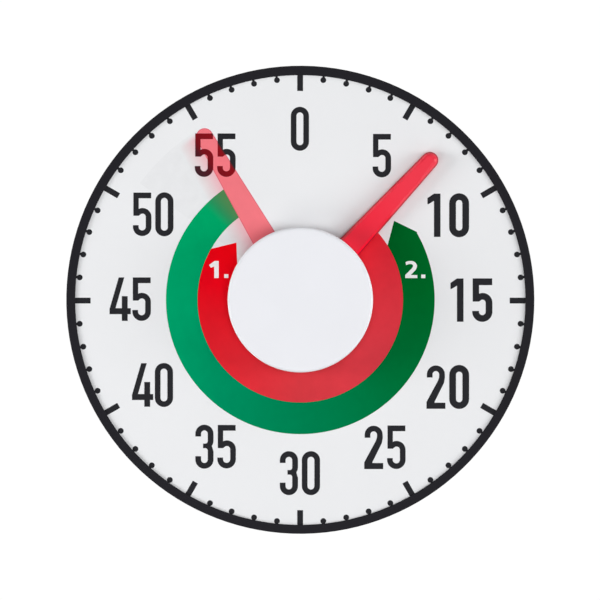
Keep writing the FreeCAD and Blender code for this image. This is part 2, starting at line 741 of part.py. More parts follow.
def pointer():
    """Red pointer: bevelled hollow arm on a ribbed hub that the knob covers."""
    root = (0.0, POINTER_ROOT)
    tip = (0.0, tip_centre())
    bevel_front = arm_rear - POINTER_SIDE
    lower = link(root, POINTER_ROOT_RADIUS, tip, POINTER_TIP_RADIUS, bevel_front, arm_rear)
    bevel = Part.makeLoft([
        link_wire(root, POINTER_ROOT_RADIUS, tip, POINTER_TIP_RADIUS, bevel_front),
        link_wire(root, POINTER_ROOT_RADIUS - POINTER_BEVEL, tip, POINTER_TIP_RADIUS - POINTER_BEVEL,
                  hub_front),
    ], True, True)
    plate = disc(hub_radius, hub_front, hub_rear)
    wall = tube(hub_radius, hub_radius - POINTER_WALL, hub_front, hub_front + HUB_RIM_HEIGHT)
    glide_rear = washer_front - RUNNING_FIT
    glide = tube(GLIDE_RING_OUTER, GLIDE_RING_OUTER - GLIDE_RING_WALL, hub_front, glide_rear)
    boss = disc(ARBOR_RADIUS + BUSH_WALL + POINTER_WALL, hub_front, arm_rear)
    webs = ribs(KNOB_RIB_COUNT, ARBOR_RADIUS + BUSH_WALL, hub_radius - POINTER_WALL / 2, hub_front,
                hub_front + HUB_RIM_HEIGHT, KNOB_RIB_OFFSET)
    body = joined(lower, bevel, plate, wall, glide, boss, stop_lug(), *webs)
    cuts = [disc(ARBOR_RADIUS + LOOSE_FIT, hub_front, arm_rear)]
    cuts += [disc(KNOB_SCREW_RADIUS + RUNNING_FIT, hub_front, hub_rear, spot) for spot in knob_screw_spots()]
    inset = POINTER_BEVEL + POINTER_WALL
    span = tip_centre() - POINTER_ROOT
    start = POINTER_HOLLOW_START
    taper = (POINTER_ROOT_RADIUS - POINTER_TIP_RADIUS) / span
    start_radius = POINTER_ROOT_RADIUS - taper * (start - POINTER_ROOT) - inset
    cuts.append(link((0.0, start), start_radius, tip, POINTER_TIP_RADIUS - inset, hub_front + POINTER_WALL,
                     arm_rear))
    return turned(without(body, *cuts), pointer_angle())


def stop_lug():
    """Lug below the hub that meets the stop pin at both ends of the travel."""
    free = math.radians(360.0 - TRAVEL) * stop_circle
    width = free - 2 * STOP_PIN_RADIUS - 2 * STOP_GAP
    angle = STOP_BEARING + (360.0 - TRAVEL) / 2
    lug_rear = dial_face - LOOSE_FIT
    inside = clock(stop_circle - LUG_DEPTH / 2, angle)
    outside = clock(stop_circle + LUG_DEPTH / 2, angle)
    return bar(inside, outside, width, hub_front, lug_rear)


def knob_screws():
    """Three screws from behind the hub into the knob."""
    screws = Part.makeCompound([
        pan_screw(spot, hub_rear, KNOB_SCREW_RADIUS, KNOB_SCREW_LENGTH, KNOB_HEAD_RADIUS,
                  KNOB_HEAD_HEIGHT, 1) for spot in knob_screw_spots()
    ])
    return turned(screws, pointer_angle())


def glide_washer():
    """Slippery washer on the dial below the hub."""
    outer = GLIDE_RING_OUTER + GLIDE_WASHER_MARGIN
    inner = GLIDE_RING_OUTER - GLIDE_RING_WALL - GLIDE_WASHER_MARGIN
    return tube(outer, inner, washer_front, dial_face)


def stop_pin():
    """Steel pin pressed through the dial."""
    return disc(STOP_PIN_RADIUS, stop_pin_front, dial_rear, clock(stop_circle, STOP_BEARING))


def train_spots():
    """Places of the small arbors."""
    return (second_centre, third_centre, escape_centre, anchor_centre)


def plate_windows(front, rear):
    """Openings that lighten a plate on the side away from the train."""
    middle = (PILLAR_ANGLES[1] + PILLAR_ANGLES[2]) / 2
    outside = REAR_PLATE_RADIUS - WINDOW_INSET
    return [
        link(polar(outside, middle + turn), WINDOW_RADIUS, polar(outside - WINDOW_LENGTH, middle + turn),
             WINDOW_RADIUS - WINDOW_TAPER, front, rear) for turn in WINDOW_TURNS
    ]


def movement_front_plate():
    """Brass plate that carries the train and screws to the dial."""
    plate = disc(FRONT_PLATE_RADIUS, plate_front, train_front)
    cuts = [disc(bush_radius, plate_front, train_front)]
    cuts += [disc(PIVOT_RADIUS + RUNNING_FIT, plate_front, train_front, spot) for spot in train_spots()]
    cuts += [disc(MOVEMENT_SCREW_RADIUS + RUNNING_FIT, plate_front, train_front, spot)
             for spot in movement_screw_spots]
    cuts += plate_windows(plate_front, train_front)
    return without(plate, *cuts)


def movement_rear_plate():
    """Brass plate on the pillars that carries the rear pivots, the bell and the hammer."""
    plate = disc(REAR_PLATE_RADIUS, train_rear, plate_rear)
    cuts = [disc(REAR_PIVOT_RADIUS + RUNNING_FIT + BUSH_WALL, train_rear, plate_rear)]
    cuts += [disc(PIVOT_RADIUS + RUNNING_FIT, train_rear, plate_rear, spot) for spot in train_spots()]
    cuts += [disc(PILLAR_SCREW_RADIUS + RUNNING_FIT, train_rear, plate_rear, spot) for spot in pillar_spots]
    cuts.append(disc(HAMMER_PIVOT_RADIUS, train_rear, plate_rear, hammer_centre))
    return without(plate, *cuts)


def plate_pillars():
    """Four pillars that space the plates."""
    bore = PILLAR_SCREW_RADIUS + RUNNING_FIT
    depth = PILLAR_SCREW_LENGTH - PLATE_THICK + SIDE_PLAY
    return Part.makeCompound([
        disc(PILLAR_RADIUS, train_front, train_rear, spot).cut(
            disc(bore, train_rear - depth, train_rear, spot)) for spot in pillar_spots
    ])


def pillar_screws():
    """Four screws that hold the rear plate to the pillars."""
    return Part.makeCompound([
        pan_screw(spot, plate_rear, PILLAR_SCREW_RADIUS, PILLAR_SCREW_LENGTH, PILLAR_HEAD_RADIUS,
                  PILLAR_HEAD_HEIGHT, 1) for spot in pillar_spots
    ])


def movement_screws():
    """Four screws that hold the front plate to the dial."""
    length = PLATE_THICK + MOVEMENT_GAP + MOVEMENT_SCREW_BITE
    return Part.makeCompound([
        pan_screw(spot, train_front, MOVEMENT_SCREW_RADIUS, length, MOVEMENT_HEAD_RADIUS,
                  MOVEMENT_HEAD_HEIGHT, 1) for spot in movement_screw_spots
    ])


def front_bush():
    """Brass bush of the main arbor in the front plate."""
    bush = joined(
        disc(bush_radius, dial_rear - BUSH_REACH, train_front),
        disc(bush_radius + BUSH_FLANGE, plate_front - BUSH_FLANGE_THICK, plate_front),
    )
    return bush.cut(disc(ARBOR_RADIUS + RUNNING_FIT, dial_face, train_front))


def rear_bush():
    """Brass bush of the main arbor in the rear plate."""
    bore = REAR_PIVOT_RADIUS + RUNNING_FIT
    return tube(bore + BUSH_WALL, bore, train_rear - SIDE_PLAY, plate_rear + SIDE_PLAY)


def main_arbor():
    """Steel arbor from the knob to the trip cam, with the flange and the spring's barrel."""
    end = hub_front - ARBOR_GRIP
    shoulder = train_rear - 2 * SIDE_PLAY
    arbor = joined(
        disc(ARBOR_RADIUS, end, shoulder),
        disc(ARBOR_FLANGE_RADIUS, main_wheel_rear + SIDE_PLAY, flange_rear),
        disc(BARREL_RADIUS, flange_rear, spring_rear + LOOSE_FIT),
        disc(REAR_PIVOT_RADIUS, shoulder, cam_rear + SIDE_PLAY),
    )
    return turned(arbor.cut(flat_block(ARBOR_FLAT, end, hub_front)), pointer_angle())


def clutch_washer():
    """Dished friction washer that presses the main wheel on the arbor's flange."""
    front = train_front + CLUTCH_LEVEL
    rear = front + CLUTCH_DEPTH
    bore = ARBOR_RADIUS + RUNNING_FIT
    return spun([
        (bore, front), (bore + CLUTCH_LAND, front), (CLUTCH_RADIUS, rear - CLUTCH_STOCK),
        (CLUTCH_RADIUS, rear), (CLUTCH_RADIUS - CLUTCH_LAND, rear), (bore, front + CLUTCH_STOCK),
    ])


def main_wheel():
    """Main wheel of the train."""
    return train_wheel(MAIN_TEETH, MAIN_MODULE, (0.0, 0.0), SECOND_BEARING, main_wheel_front,
                       CLUTCH_RADIUS + LOOSE_FIT, ARBOR_RADIUS + RUNNING_FIT)


def second_arbor():
    """Second arbor with the pinion that the main wheel drives."""
    middle = main_wheel_front + WHEEL_THICK / 2
    leaves = pinion(MAIN_MODULE, second_centre, SECOND_BEARING + 180.0, middle - PINION_LENGTH / 2,
                    middle + PINION_LENGTH / 2)
    return staff(second_centre, leaves)


def second_wheel():
    """Second wheel, beside the rear plate."""
    return train_wheel(SECOND_TEETH, SECOND_MODULE, second_centre, THIRD_BEARING, second_wheel_front,
                       WHEEL_HUB_RADIUS, STAFF_RADIUS)


def third_arbor():
    """Third arbor with the pinion that the second wheel drives."""
    middle = second_wheel_front + WHEEL_THICK / 2
    leaves = pinion(SECOND_MODULE, third_centre, THIRD_BEARING + 180.0, middle - PINION_LENGTH / 2,
                    middle + PINION_LENGTH / 2)
    return staff(third_centre, leaves)


def third_wheel():
    """Third wheel, in the middle of the train."""
    return train_wheel(THIRD_TEETH, THIRD_MODULE, third_centre, ESCAPE_BEARING, third_wheel_front,
                       WHEEL_HUB_RADIUS, STAFF_RADIUS)


def escape_arbor():
    """Escape arbor with the pinion that the third wheel drives."""
    middle = third_wheel_front + WHEEL_THICK / 2
    leaves = pinion(THIRD_MODULE, escape_centre, ESCAPE_BEARING + 180.0, middle - PINION_LENGTH / 2,
                    middle + PINION_LENGTH / 2)
    return staff(escape_centre, leaves)


def escape_wheel():
    """Pointed escape wheel, a quarter of a tooth away from both pallet pins."""
    step = 360.0 / ESCAPE_TEETH
    first = ANCHOR_BEARING + PALLET_SPAN + step / 4
    corners = []
    for index in range(ESCAPE_TEETH):
        for radius, angle in ((ESCAPE_ROOT, -ESCAPE_ROOT_ANGLE), (ESCAPE_RADIUS, -ESCAPE_TIP_ANGLE),
                              (ESCAPE_RADIUS, ESCAPE_TIP_ANGLE), (ESCAPE_ROOT, ESCAPE_ROOT_ANGLE)):
            x, z = polar(radius, first + index * step + angle, escape_centre)
            corners.append(V(x, escape_front, z))
    blank = raised(Part.makePolygon(corners + corners[:1]), WHEEL_THICK)
    return blank.cut(disc(STAFF_RADIUS, escape_front, escape_front + WHEEL_THICK, escape_centre))


def pallet_spots():
    """Places of the two pallet pins while the anchor is level."""
    return [polar(pallet_circle, ANCHOR_BEARING + side * PALLET_SPAN, escape_centre) for side in (-1, 1)]


def anchor():
    """Pin pallet anchor that rocks over the escape wheel."""
    rear = anchor_front + ANCHOR_THICK
    hub = disc(ANCHOR_HUB_RADIUS, anchor_front, rear, anchor_centre)
    tail = polar(ANCHOR_TAIL, ANCHOR_BEARING, anchor_centre)
    arms = [link(anchor_centre, ANCHOR_ROOT_RADIUS, spot, ANCHOR_ARM_RADIUS, anchor_front, rear)
            for spot in pallet_spots()]
    arms.append(link(anchor_centre, ANCHOR_ROOT_RADIUS, tail, ANCHOR_TAIL_RADIUS, anchor_front, rear))
    return without(joined(hub, *arms), disc(STAFF_RADIUS, anchor_front, rear, anchor_centre),
                   *[disc(PALLET_PIN_RADIUS, anchor_front, rear, spot) for spot in pallet_spots()])


def pallet_pins():
    """Two hard pins pressed into the anchor."""
    return Part.makeCompound([
        disc(PALLET_PIN_RADIUS, escape_front - SIDE_PLAY, anchor_front + ANCHOR_THICK, spot)
        for spot in pallet_spots()
    ])


def anchor_arbor():
    """Arbor of the anchor."""
    return joined(disc(STAFF_RADIUS, train_front + SIDE_PLAY, train_rear - SIDE_PLAY, anchor_centre),
                  disc(PIVOT_RADIUS, plate_front, plate_rear, anchor_centre))


def mainspring():
    """Flat spiral spring from the barrel to its post, drawn as half turns about two centres."""
    inner = BARREL_RADIUS + SIDE_PLAY + SPRING_STOCK / 2
    sides = {}
    for side in (-1, 1):
        arcs = []
        for half_turn in range(2 * SPRING_TURNS):
            radius = inner + half_turn * SPRING_PITCH / 2 + side * SPRING_STOCK / 2
            offset = SPRING_PITCH / 2 * (half_turn % 2)
            start = 180.0 * half_turn
            marks = [polar(radius, start + turn, (offset, 0.0)) for turn in (0.0, 90.0, 180.0)]
            arcs.append(Part.Arc(*[V(x, spring_front, z) for x, z in marks]).toShape())
        sides[side] = arcs
    last = inner + SPRING_TURNS * SPRING_PITCH
    half = SPRING_STOCK / 2
    ends = [
        Part.makeLine(V(radius - half, spring_front, 0), V(radius + half, spring_front, 0))
        for radius in (inner, last)
    ]
    wire = Part.Wire(Part.__sortEdges__(sides[-1] + sides[1] + ends))
    print("mainspring gap between turns", round(SPRING_PITCH - SPRING_STOCK, 3))
    return raised(wire, SPRING_WIDTH)


def spring_post():
    """Slotted post that holds the mainspring's outer end."""
    post = disc(SPRING_POST_RADIUS, main_wheel_rear + LOOSE_FIT, train_rear, spring_post_centre)
    grip = SPRING_STOCK + LOOSE_FIT
    height = 2 * SPRING_POST_RADIUS
    corner = V(spring_outer - grip / 2, spring_front - LOOSE_FIT, SIDE_PLAY - height)
    return post.cut(Part.makeBox(grip, SPRING_WIDTH + 2 * LOOSE_FIT, height, corner))


def trip_cam():
    """Cam on the rear end of the arbor whose lobe trips the hammer at zero."""
    drop = 90.0 - CAM_LAG + pointer_angle()
    front = cam_front

    def spot(radius, angle):
        x, z = clock(radius, angle)
        return V(x, front, z)

    lobe = Part.Wire([
        Part.makeLine(spot(0.0, 0.0), spot(CAM_LOBE, drop)),
        Part.Arc(spot(CAM_LOBE, drop), spot((CAM_LOBE * 2 + CAM_RADIUS) / 3, drop - CAM_RAMP / 2),
                 spot(CAM_RADIUS, drop - CAM_RAMP)).toShape(),
        Part.makeLine(spot(CAM_RADIUS, drop - CAM_RAMP), spot(0.0, 0.0)),
    ])
    cam = joined(disc(CAM_RADIUS, cam_front, cam_rear), raised(lobe, CAM_THICK))
    return cam.cut(disc(REAR_PIVOT_RADIUS, cam_front, cam_rear))


def bell_sphere_radius():
    """Radius of the sphere that the bell is a cap of."""
    return (BELL_RADIUS ** 2 + BELL_RISE ** 2) / (2 * BELL_RISE)


def bell():
    """Shallow steel bell, open to the front."""
    outer = bell_sphere_radius()
    middle = V(BELL_X, bell_top - outer, BELL_Z)
    cap = Part.makeSphere(outer, middle).cut(Part.makeSphere(outer - BELL_WALL, middle))
    keep = disc(2 * BELL_RADIUS, bell_rim, bell_top, bell_centre)
    bore = disc(BELL_SCREW_RADIUS + RUNNING_FIT, bell_rim, bell_top, bell_centre)
    return cap.common(keep).cut(bore)


def bell_post():
    """Post of the bell on the rear plate."""
    inner = bell_sphere_radius() - BELL_WALL
    middle = bell_top - bell_sphere_radius()
    top = middle + math.sqrt(inner ** 2 - BELL_POST_RADIUS ** 2)
    post = disc(BELL_POST_RADIUS, plate_rear, top, bell_centre)
    depth = bell_top - BELL_SCREW_LENGTH - SIDE_PLAY
    return post.cut(disc(BELL_SCREW_RADIUS + RUNNING_FIT, depth, top, bell_centre))


def bell_screw():
    """Screw that holds the bell."""
    return pan_screw(bell_centre, bell_top, BELL_SCREW_RADIUS, BELL_SCREW_LENGTH, BELL_HEAD_RADIUS,
                     BELL_HEAD_HEIGHT, 1)


def arm_x(height):
    """Middle line of the hammer arm at a height."""
    share = (height - HAMMER_Z) / (hammer_head_centre[1] - HAMMER_Z)
    return HAMMER_X + share * (hammer_head_centre[0] - HAMMER_X)


def hammer():
    """Bell hammer: hub, arm, nose beside the cam and a heavy head."""
    front = hammer_front
    rear = front + HAMMER_THICK
    hub = disc(HAMMER_HUB_RADIUS, front, rear, hammer_centre)
    arm = link(hammer_centre, HAMMER_WIDTH / 2, hammer_head_centre, HAMMER_WIDTH / 2, front, rear)
    nose = link((arm_x(0.0), 0.0), HAMMER_WIDTH / 2, (nose_reach + NOSE_RADIUS, 0.0), NOSE_RADIUS, front,
                rear)
    head = disc(HAMMER_HEAD_RADIUS, front, front + HAMMER_HEAD_LENGTH, hammer_head_centre)
    bore = disc(HAMMER_PIVOT_RADIUS + RUNNING_FIT, front, rear, hammer_centre)
    return joined(hub, arm, nose, head).cut(bore)


def hammer_pivot():
    """Shoulder rivet that the hammer swings on."""
    top = hammer_front + HAMMER_THICK + SIDE_PLAY
    return joined(disc(HAMMER_PIVOT_RADIUS, train_rear, top, hammer_centre),
                  disc(HAMMER_RIVET_RADIUS, top, top + HAMMER_THICK, hammer_centre))


def leaf_ends():
    """Free end and clamped end of the hammer's leaf spring."""
    height = HAMMER_Z + LEAF_HEIGHT
    edge = arm_x(height) + HAMMER_WIDTH / 2
    return (edge + SIDE_PLAY + LEAF_STOCK, height), (edge + LEAF_RUN, height - LEAF_RUN)


def hammer_spring():
    """Leaf spring that pulls the hammer back to the bell."""
    free, clamped = leaf_ends()
    return bar(free, clamped, LEAF_STOCK, hammer_front, hammer_front + HAMMER_THICK)


def hammer_spring_post():
    """Slotted post of the leaf spring."""
    free, clamped = leaf_ends()
    post = disc(LEAF_POST_RADIUS, plate_rear, hammer_front + 2 * HAMMER_THICK, clamped)
    groove = bar(free, (2 * clamped[0] - free[0], 2 * clamped[1] - free[1]), LEAF_STOCK + 2 * RUNNING_FIT,
                 hammer_front, hammer_front + 2 * HAMMER_THICK)
    return post.cut(groove)


PIECES = (
    rim_ring, dial_plate, rear_shell, case_screws, movement_drum, drum_screws, back_cover, back_cover_screws,
    magnets, magnet_cups, knob_cap, pointer, knob_screws, glide_washer, stop_pin, movement_front_plate,
    movement_rear_plate,
    plate_pillars, pillar_screws, movement_screws, front_bush, rear_bush, main_arbor, clutch_washer,
    main_wheel, second_arbor, second_wheel, third_arbor, third_wheel, escape_arbor, escape_wheel, anchor,
    pallet_pins, anchor_arbor, mainspring, spring_post, trip_cam, bell, bell_post, bell_screw, hammer,
    hammer_pivot, hammer_spring, hammer_spring_post,
)

os.makedirs("parts", exist_ok=True)
for make in PIECES:
    shape = make()
    assert shape.isValid(), make.__name__
    shape.exportStep(f"parts/{make.__name__}.step")
    print(make.__name__, len(shape.Solids), round(shape.Volume, 1))
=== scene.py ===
"""Looks of a round, spring-driven visual countdown timer for a classroom board.

The dial's print, the rim, the knob, the pointer and the screws are modelled here. Every other
part keeps the mesh it came with and gets a finish. The classes state lengths in millimetres, and
an angle on the face is read as a clock's hand is, clockwise from twelve, in degrees.
"""

from __future__ import annotations

import logging
import math
from dataclasses import dataclass
from enum import Enum
from typing import Callable, Sequence

import bmesh
import bpy
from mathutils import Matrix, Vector

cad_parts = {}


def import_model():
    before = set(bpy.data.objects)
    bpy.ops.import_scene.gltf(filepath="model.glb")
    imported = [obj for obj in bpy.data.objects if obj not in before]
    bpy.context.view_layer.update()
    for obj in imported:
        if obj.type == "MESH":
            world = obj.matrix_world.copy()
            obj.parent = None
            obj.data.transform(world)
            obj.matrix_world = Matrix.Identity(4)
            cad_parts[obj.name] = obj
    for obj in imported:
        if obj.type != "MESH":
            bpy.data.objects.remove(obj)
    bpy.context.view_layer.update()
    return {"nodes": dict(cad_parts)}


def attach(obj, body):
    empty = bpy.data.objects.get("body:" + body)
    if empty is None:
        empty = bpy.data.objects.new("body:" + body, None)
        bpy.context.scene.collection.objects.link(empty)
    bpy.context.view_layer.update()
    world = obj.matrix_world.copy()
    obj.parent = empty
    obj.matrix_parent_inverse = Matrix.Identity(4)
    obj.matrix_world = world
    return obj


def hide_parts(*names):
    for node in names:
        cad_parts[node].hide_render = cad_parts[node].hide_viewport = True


log = logging.getLogger("timer")

# One millimetre in the scene's metres, and how close two places count as one.
MM = 0.001
NEAR = 0.02

# How close points lie that are merged in a part's mesh, a finished piece and a drawn line, how
# little two faces turn to count as one flat, in degrees, and the y of a normal that looks forward.
PART_WELD = 0.001
PIECE_WELD = 0.003
LINE_WELD = 0.005
FLAT_DEGREES = 0.4
FORWARD = -0.9

# The planes, as y, of the dial's front, of the print's rear and of each layer's front.
FACE = -32.0
INK_REAR = -31.97
TRAIL_FRONT = -32.01
ARROW_FRONT = -32.03
GHOST_FRONT = -32.045
BORDER_FRONT = -32.05
INK_FRONT = -32.06

# One step of the grid that the print is drawn on, and where the arbor lies on it.
GRID = 0.6408
GRID_CENTRE = (300.32, 299.77)

Spot = tuple[float, float]
Light = tuple[float, float, float, float]
Socket = bpy.types.NodeSocket
Test = Callable[[Vector, Vector], bool]


def on_face(radius: float, degrees: float, level: float = FACE) -> Vector:
    """Gives the point at a radius and a clock angle, on the plane y = level, in millimetres."""
    turn = math.radians(degrees)
    return Vector((radius * math.sin(turn), level, radius * math.cos(turn)))


class Workpiece:
    """One mesh on the bench, started from a primitive and shaped with edit mode operators.

    Every length is in millimetres, and a step or a size goes along x, y and z.
    """

    def __init__(self, name: str) -> None:
        """Clears the bench, so that only this piece is worked on.

        Args:
            name: The name that the finished piece has.
        """
        bpy.ops.object.select_all(action="DESELECT")
        self.name = name
        self.body: bpy.types.Object | None = None

    def _take_up(self) -> "Workpiece":
        """Names the new primitive, puts its place into its mesh and opens it for editing.

        Returns:
            This piece, with nothing selected.
        """
        self.body = bpy.context.object
        self.body.name = self.name
        self.body.data.name = self.name
        bpy.ops.object.transform_apply(location=True, rotation=True, scale=True)
        self.open()
        return self

    def _alone(self) -> None:
        """Selects this piece alone and makes it the active one."""
        bpy.ops.object.select_all(action="DESELECT")
        self.body.select_set(True)
        bpy.context.view_layer.objects.active = self.body

    @classmethod
    def from_point(cls, name: str, at: Sequence[float]) -> "Workpiece":
        """Starts a drawn line at one point.

        Args:
            name: The piece's name.
            at: The point.

        Returns:
            The piece, open for editing, with its point selected.
        """
        piece = cls(name)
        bpy.ops.mesh.primitive_plane_add(size=MM, location=Vector(at) * MM)
        piece._take_up().select_all()
        bpy.ops.mesh.merge(type="CENTER")
        return piece

    @classmethod
    def from_section(
        cls, name: str, radii: Spot, front: float, degrees: float = 0.0
    ) -> "Workpiece":
        """Starts a printed band with its upright cross-section at a clock angle.

        Args:
            name: The piece's name.
            radii: The section's inner and outer radius.
            front: The plane of its front. Its rear is the print's.
            degrees: The clock angle at which the section stands.

        Returns:
            The piece, open for editing, with the section selected.
        """
        piece = cls(name)
        middle = on_face(sum(radii) / 2, degrees, (front + INK_REAR) / 2)
        bpy.ops.mesh.primitive_plane_add(
            size=1, location=middle * MM, rotation=(0, math.pi / 2 + math.radians(degrees), 0)
        )
        bpy.context.object.scale = ((radii[1] - radii[0]) * MM, (INK_REAR - front) * MM, 1)
        piece._take_up().select_all()
        return piece

    @classmethod
    def from_disc(
        cls, name: str, centre: Sequence[float], radius: float, depth: float, sides: int
    ) -> "Workpiece":
        """Starts a round bar that lies along the arbor.

        Args:
            name: The piece's name.
            centre: The bar's middle.
            radius: Its radius.
            depth: Its length.
            sides: How many flat sides it is made with.

        Returns:
            The piece, open for editing, with nothing selected.
        """
        piece = cls(name)
        bpy.ops.mesh.primitive_cylinder_add(
            vertices=sides,
            radius=radius * MM,
            depth=depth * MM,
            location=Vector(centre) * MM,
            rotation=(math.pi / 2, 0, 0),
        )
        return piece._take_up()

    @classmethod
    def from_block(
        cls, name: str, centre: Sequence[float], size: Sequence[float]
    ) -> "Workpiece":
        """Starts an upright block.

        Args:
            name: The piece's name.
            centre: The block's middle.
            size: Its size.

        Returns:
            The piece, open for editing, with nothing selected.
        """
        piece = cls(name)
        bpy.ops.mesh.primitive_cube_add(size=1, location=Vector(centre) * MM)
        bpy.context.object.scale = Vector(size) * MM
        return piece._take_up()

    @classmethod
    def from_part(cls, name: str, part: bpy.types.Object) -> "Workpiece":
        """Starts with a copy of one of the timer's parts, merged, with its flats made whole.

        Args:
            name: The piece's name.
            part: The part, which is left as it is.

        Returns:
            The piece, open for editing, with nothing selected.
        """
        piece = cls(name)
        piece.body = bpy.data.objects.new(name, part.data.copy())
        piece.body.data.name = name
        bpy.context.scene.collection.objects.link(piece.body)
        bpy.context.view_layer.objects.active = piece.body
        bpy.ops.mesh.customdata_custom_splitnormals_clear()
        piece.open()
        piece.weld(PART_WELD)
        bpy.ops.mesh.dissolve_limited(angle_limit=math.radians(FLAT_DEGREES))
        bpy.ops.mesh.select_all(action="DESELECT")
        return piece

    def open(self) -> None:
        """Opens the mesh for editing, with nothing selected."""
        self._alone()
        bpy.ops.object.mode_set(mode="EDIT")
        bpy.ops.mesh.select_mode(type="VERT")
        bpy.ops.mesh.select_all(action="DESELECT")

    def close(self) -> None:
        """Ends editing."""
        bpy.ops.object.mode_set(mode="OBJECT")

    def select_all(self) -> None:
        """Selects the whole mesh."""
        bpy.ops.mesh.select_all(action="SELECT")

    def _pick(self, kind: str, test: Callable[[object], bool]) -> int:
        """Selects the faces or edges that a test accepts, and no others.

        Args:
            kind: FACE or EDGE.
            test: Takes one of them.

        Returns:
            How many are selected.
        """
        bpy.ops.mesh.select_mode(type=kind)
        bpy.ops.mesh.select_all(action="DESELECT")
        mesh = bmesh.from_edit_mesh(self.body.data)
        found = [part for part in (mesh.faces if kind == "FACE" else mesh.edges) if test(part)]
        for part in found:
            part.select_set(True)
        mesh.select_flush_mode()
        bmesh.update_edit_mesh(self.body.data)
        return len(found)

    def pick_faces(self, test: Test) -> int:
        """Selects the faces whose middle and normal a test accepts, and says how many."""
        return self._pick("FACE", lambda face: test(face.calc_center_median() / MM, face.normal))

    def pick_front(self) -> int:
        """Selects the faces that look forward, and says how many."""
        return self.pick_faces(lambda middle, normal: normal.y < FORWARD)

    def pick_edges(self, test: Test) -> int:
        """Selects the edges whose two ends a test accepts, and says how many."""
        return self._pick("EDGE", lambda edge: test(*(end.co / MM for end in edge.verts)))

    def pick_ring(self, radius: float, level: float, centre: Spot = (0.0, 0.0)) -> int:
        """Selects the round edge at a radius and a level.

        Args:
            radius: The edge's radius about the centre.
            level: The edge's plane.
            centre: Where the ring's middle is, in x and z.

        Returns:
            How many edges are selected.
        """

        def on_ring(point: Vector) -> bool:
            """Tells if a point lies on the ring."""
            reach = math.hypot(point.x - centre[0], point.z - centre[1])
            return abs(reach - radius) < NEAR and abs(point.y - level) < NEAR

        return self.pick_edges(lambda one, other: on_ring(one) and on_ring(other))

    def extrude(self, step: Sequence[float]) -> None:
        """Draws what is selected out by a step."""
        bpy.ops.mesh.extrude_region_move(TRANSFORM_OT_translate={"value": Vector(step) * MM})

    def draw_to(self, points: Sequence[Sequence[float]]) -> None:
        """Draws the line on from the selected point through further points.

        Args:
            points: The corners that the line goes to, in order.
        """
        for point in points:
            mesh = bmesh.from_edit_mesh(self.body.data)
            here = next(v.co for v in mesh.verts if v.select) / MM
            self.extrude(Vector(point) - here)

    def sweep(self, degrees: float, centre: Sequence[float], steps: int) -> None:
        """Spins what is selected about an axis along the arbor.

        Args:
            degrees: How far it goes, clockwise as seen from the front.
            centre: A point on the axis.
            steps: In how many steps.
        """
        bpy.ops.mesh.spin(
            steps=steps,
            angle=math.radians(abs(degrees)),
            center=Vector(centre) * MM,
            axis=(0, -math.copysign(1, degrees), 0),
        )

    def repeat(self, count: int, degrees: float) -> None:
        """Copies the whole mesh round the arbor.

        Args:
            count: How many there are in all.
            degrees: The clock angle from one to the next.
        """
        self.select_all()
        bpy.ops.mesh.spin(
            steps=count - 1,
            dupli=True,
            angle=math.radians(degrees * (count - 1)),
            center=(0, 0, 0),
            axis=(0, -1, 0),
        )

    def weld(self, reach: float) -> None:
        """Merges all points that lie closer than a reach."""
        self.select_all()
        bpy.ops.mesh.remove_doubles(threshold=reach * MM)

    def fill(self) -> None:
        """Joins the drawn line's ends and fills it with one face."""
        self.weld(LINE_WELD)
        bpy.ops.mesh.edge_face_add()

    def inset(self, width: float) -> None:
        """Insets the selected faces by a width."""
        bpy.ops.mesh.inset(thickness=width * MM, use_even_offset=True)

    def turn(self, degrees: float) -> None:
        """Turns what is selected about the arbor.

        Args:
            degrees: How far it turns.
        """
        bpy.ops.transform.rotate(
            value=math.radians(degrees), orient_axis="Y", center_override=(0, 0, 0)
        )

    def taper(self, factor: float) -> None:
        """Makes what is selected smaller across the arbor by a factor."""
        bpy.ops.transform.resize(value=(factor, 1, factor))

    def bevel(self, width: float, segments: int) -> None:
        """Rounds the selected edges.

        Args:
            width: How far the rounding reaches from the edge.
            segments: In how many flats.
        """
        log.info("%s: rounded by %.2f", self.name, width)
        bpy.ops.mesh.bevel(
            offset=width * MM, offset_type="OFFSET", segments=segments, profile=0.5
        )

    def heal(self) -> None:
        """Merges doubled points and turns every face outwards."""
        self.weld(PIECE_WELD)
        bpy.ops.mesh.normals_make_consistent(inside=False)

    def cut_away(self, other: "Workpiece") -> None:
        """Cuts another closed piece away from this one, and uses it up.

        Args:
            other: The other piece, which is closed for editing, as this one is.
        """
        self._alone()
        step = self.body.modifiers.new("Cut", "BOOLEAN")
        step.operation = "DIFFERENCE"
        step.solver = "EXACT"
        step.object = other.body
        bpy.ops.object.modifier_apply(modifier=step.name)
        bpy.data.objects.remove(other.body)

    def copy_to(self, name: str, step: Sequence[float]) -> "Workpiece":
        """Makes a copy with its own mesh, set off by a step.

        Args:
            name: The copy's name.
            step: The step.

        Returns:
            The copy, closed for editing.
        """
        self._alone()
        bpy.ops.object.duplicate()
        twin = Workpiece.__new__(Workpiece)
        twin.name = name
        twin.body = bpy.context.object
        twin.body.name = name
        twin.body.location = Vector(step) * MM
        bpy.ops.object.transform_apply(location=True, rotation=True, scale=True)
        return twin

    def join(self, others: Sequence["Workpiece"]) -> None:
        """Takes further closed pieces into this one's mesh.

        Args:
            others: The pieces to take in.
        """
        self._alone()
        for other in others:
            other.body.select_set(True)
        bpy.ops.object.join()

    def smooth(self, degrees: float) -> None:
        """Shades the piece smoothly, with its broad flats kept flat.

        Args:
            degrees: The sharpest edge that is still shaded smoothly.
        """
        self._alone()
        bpy.ops.object.shade_smooth_by_angle(angle=math.radians(degrees))
        step = self.body.modifiers.new("Flats", "WEIGHTED_NORMAL")
        step.keep_sharp = True
        step.weight = 100
        bpy.ops.object.modifier_apply(modifier=step.name)

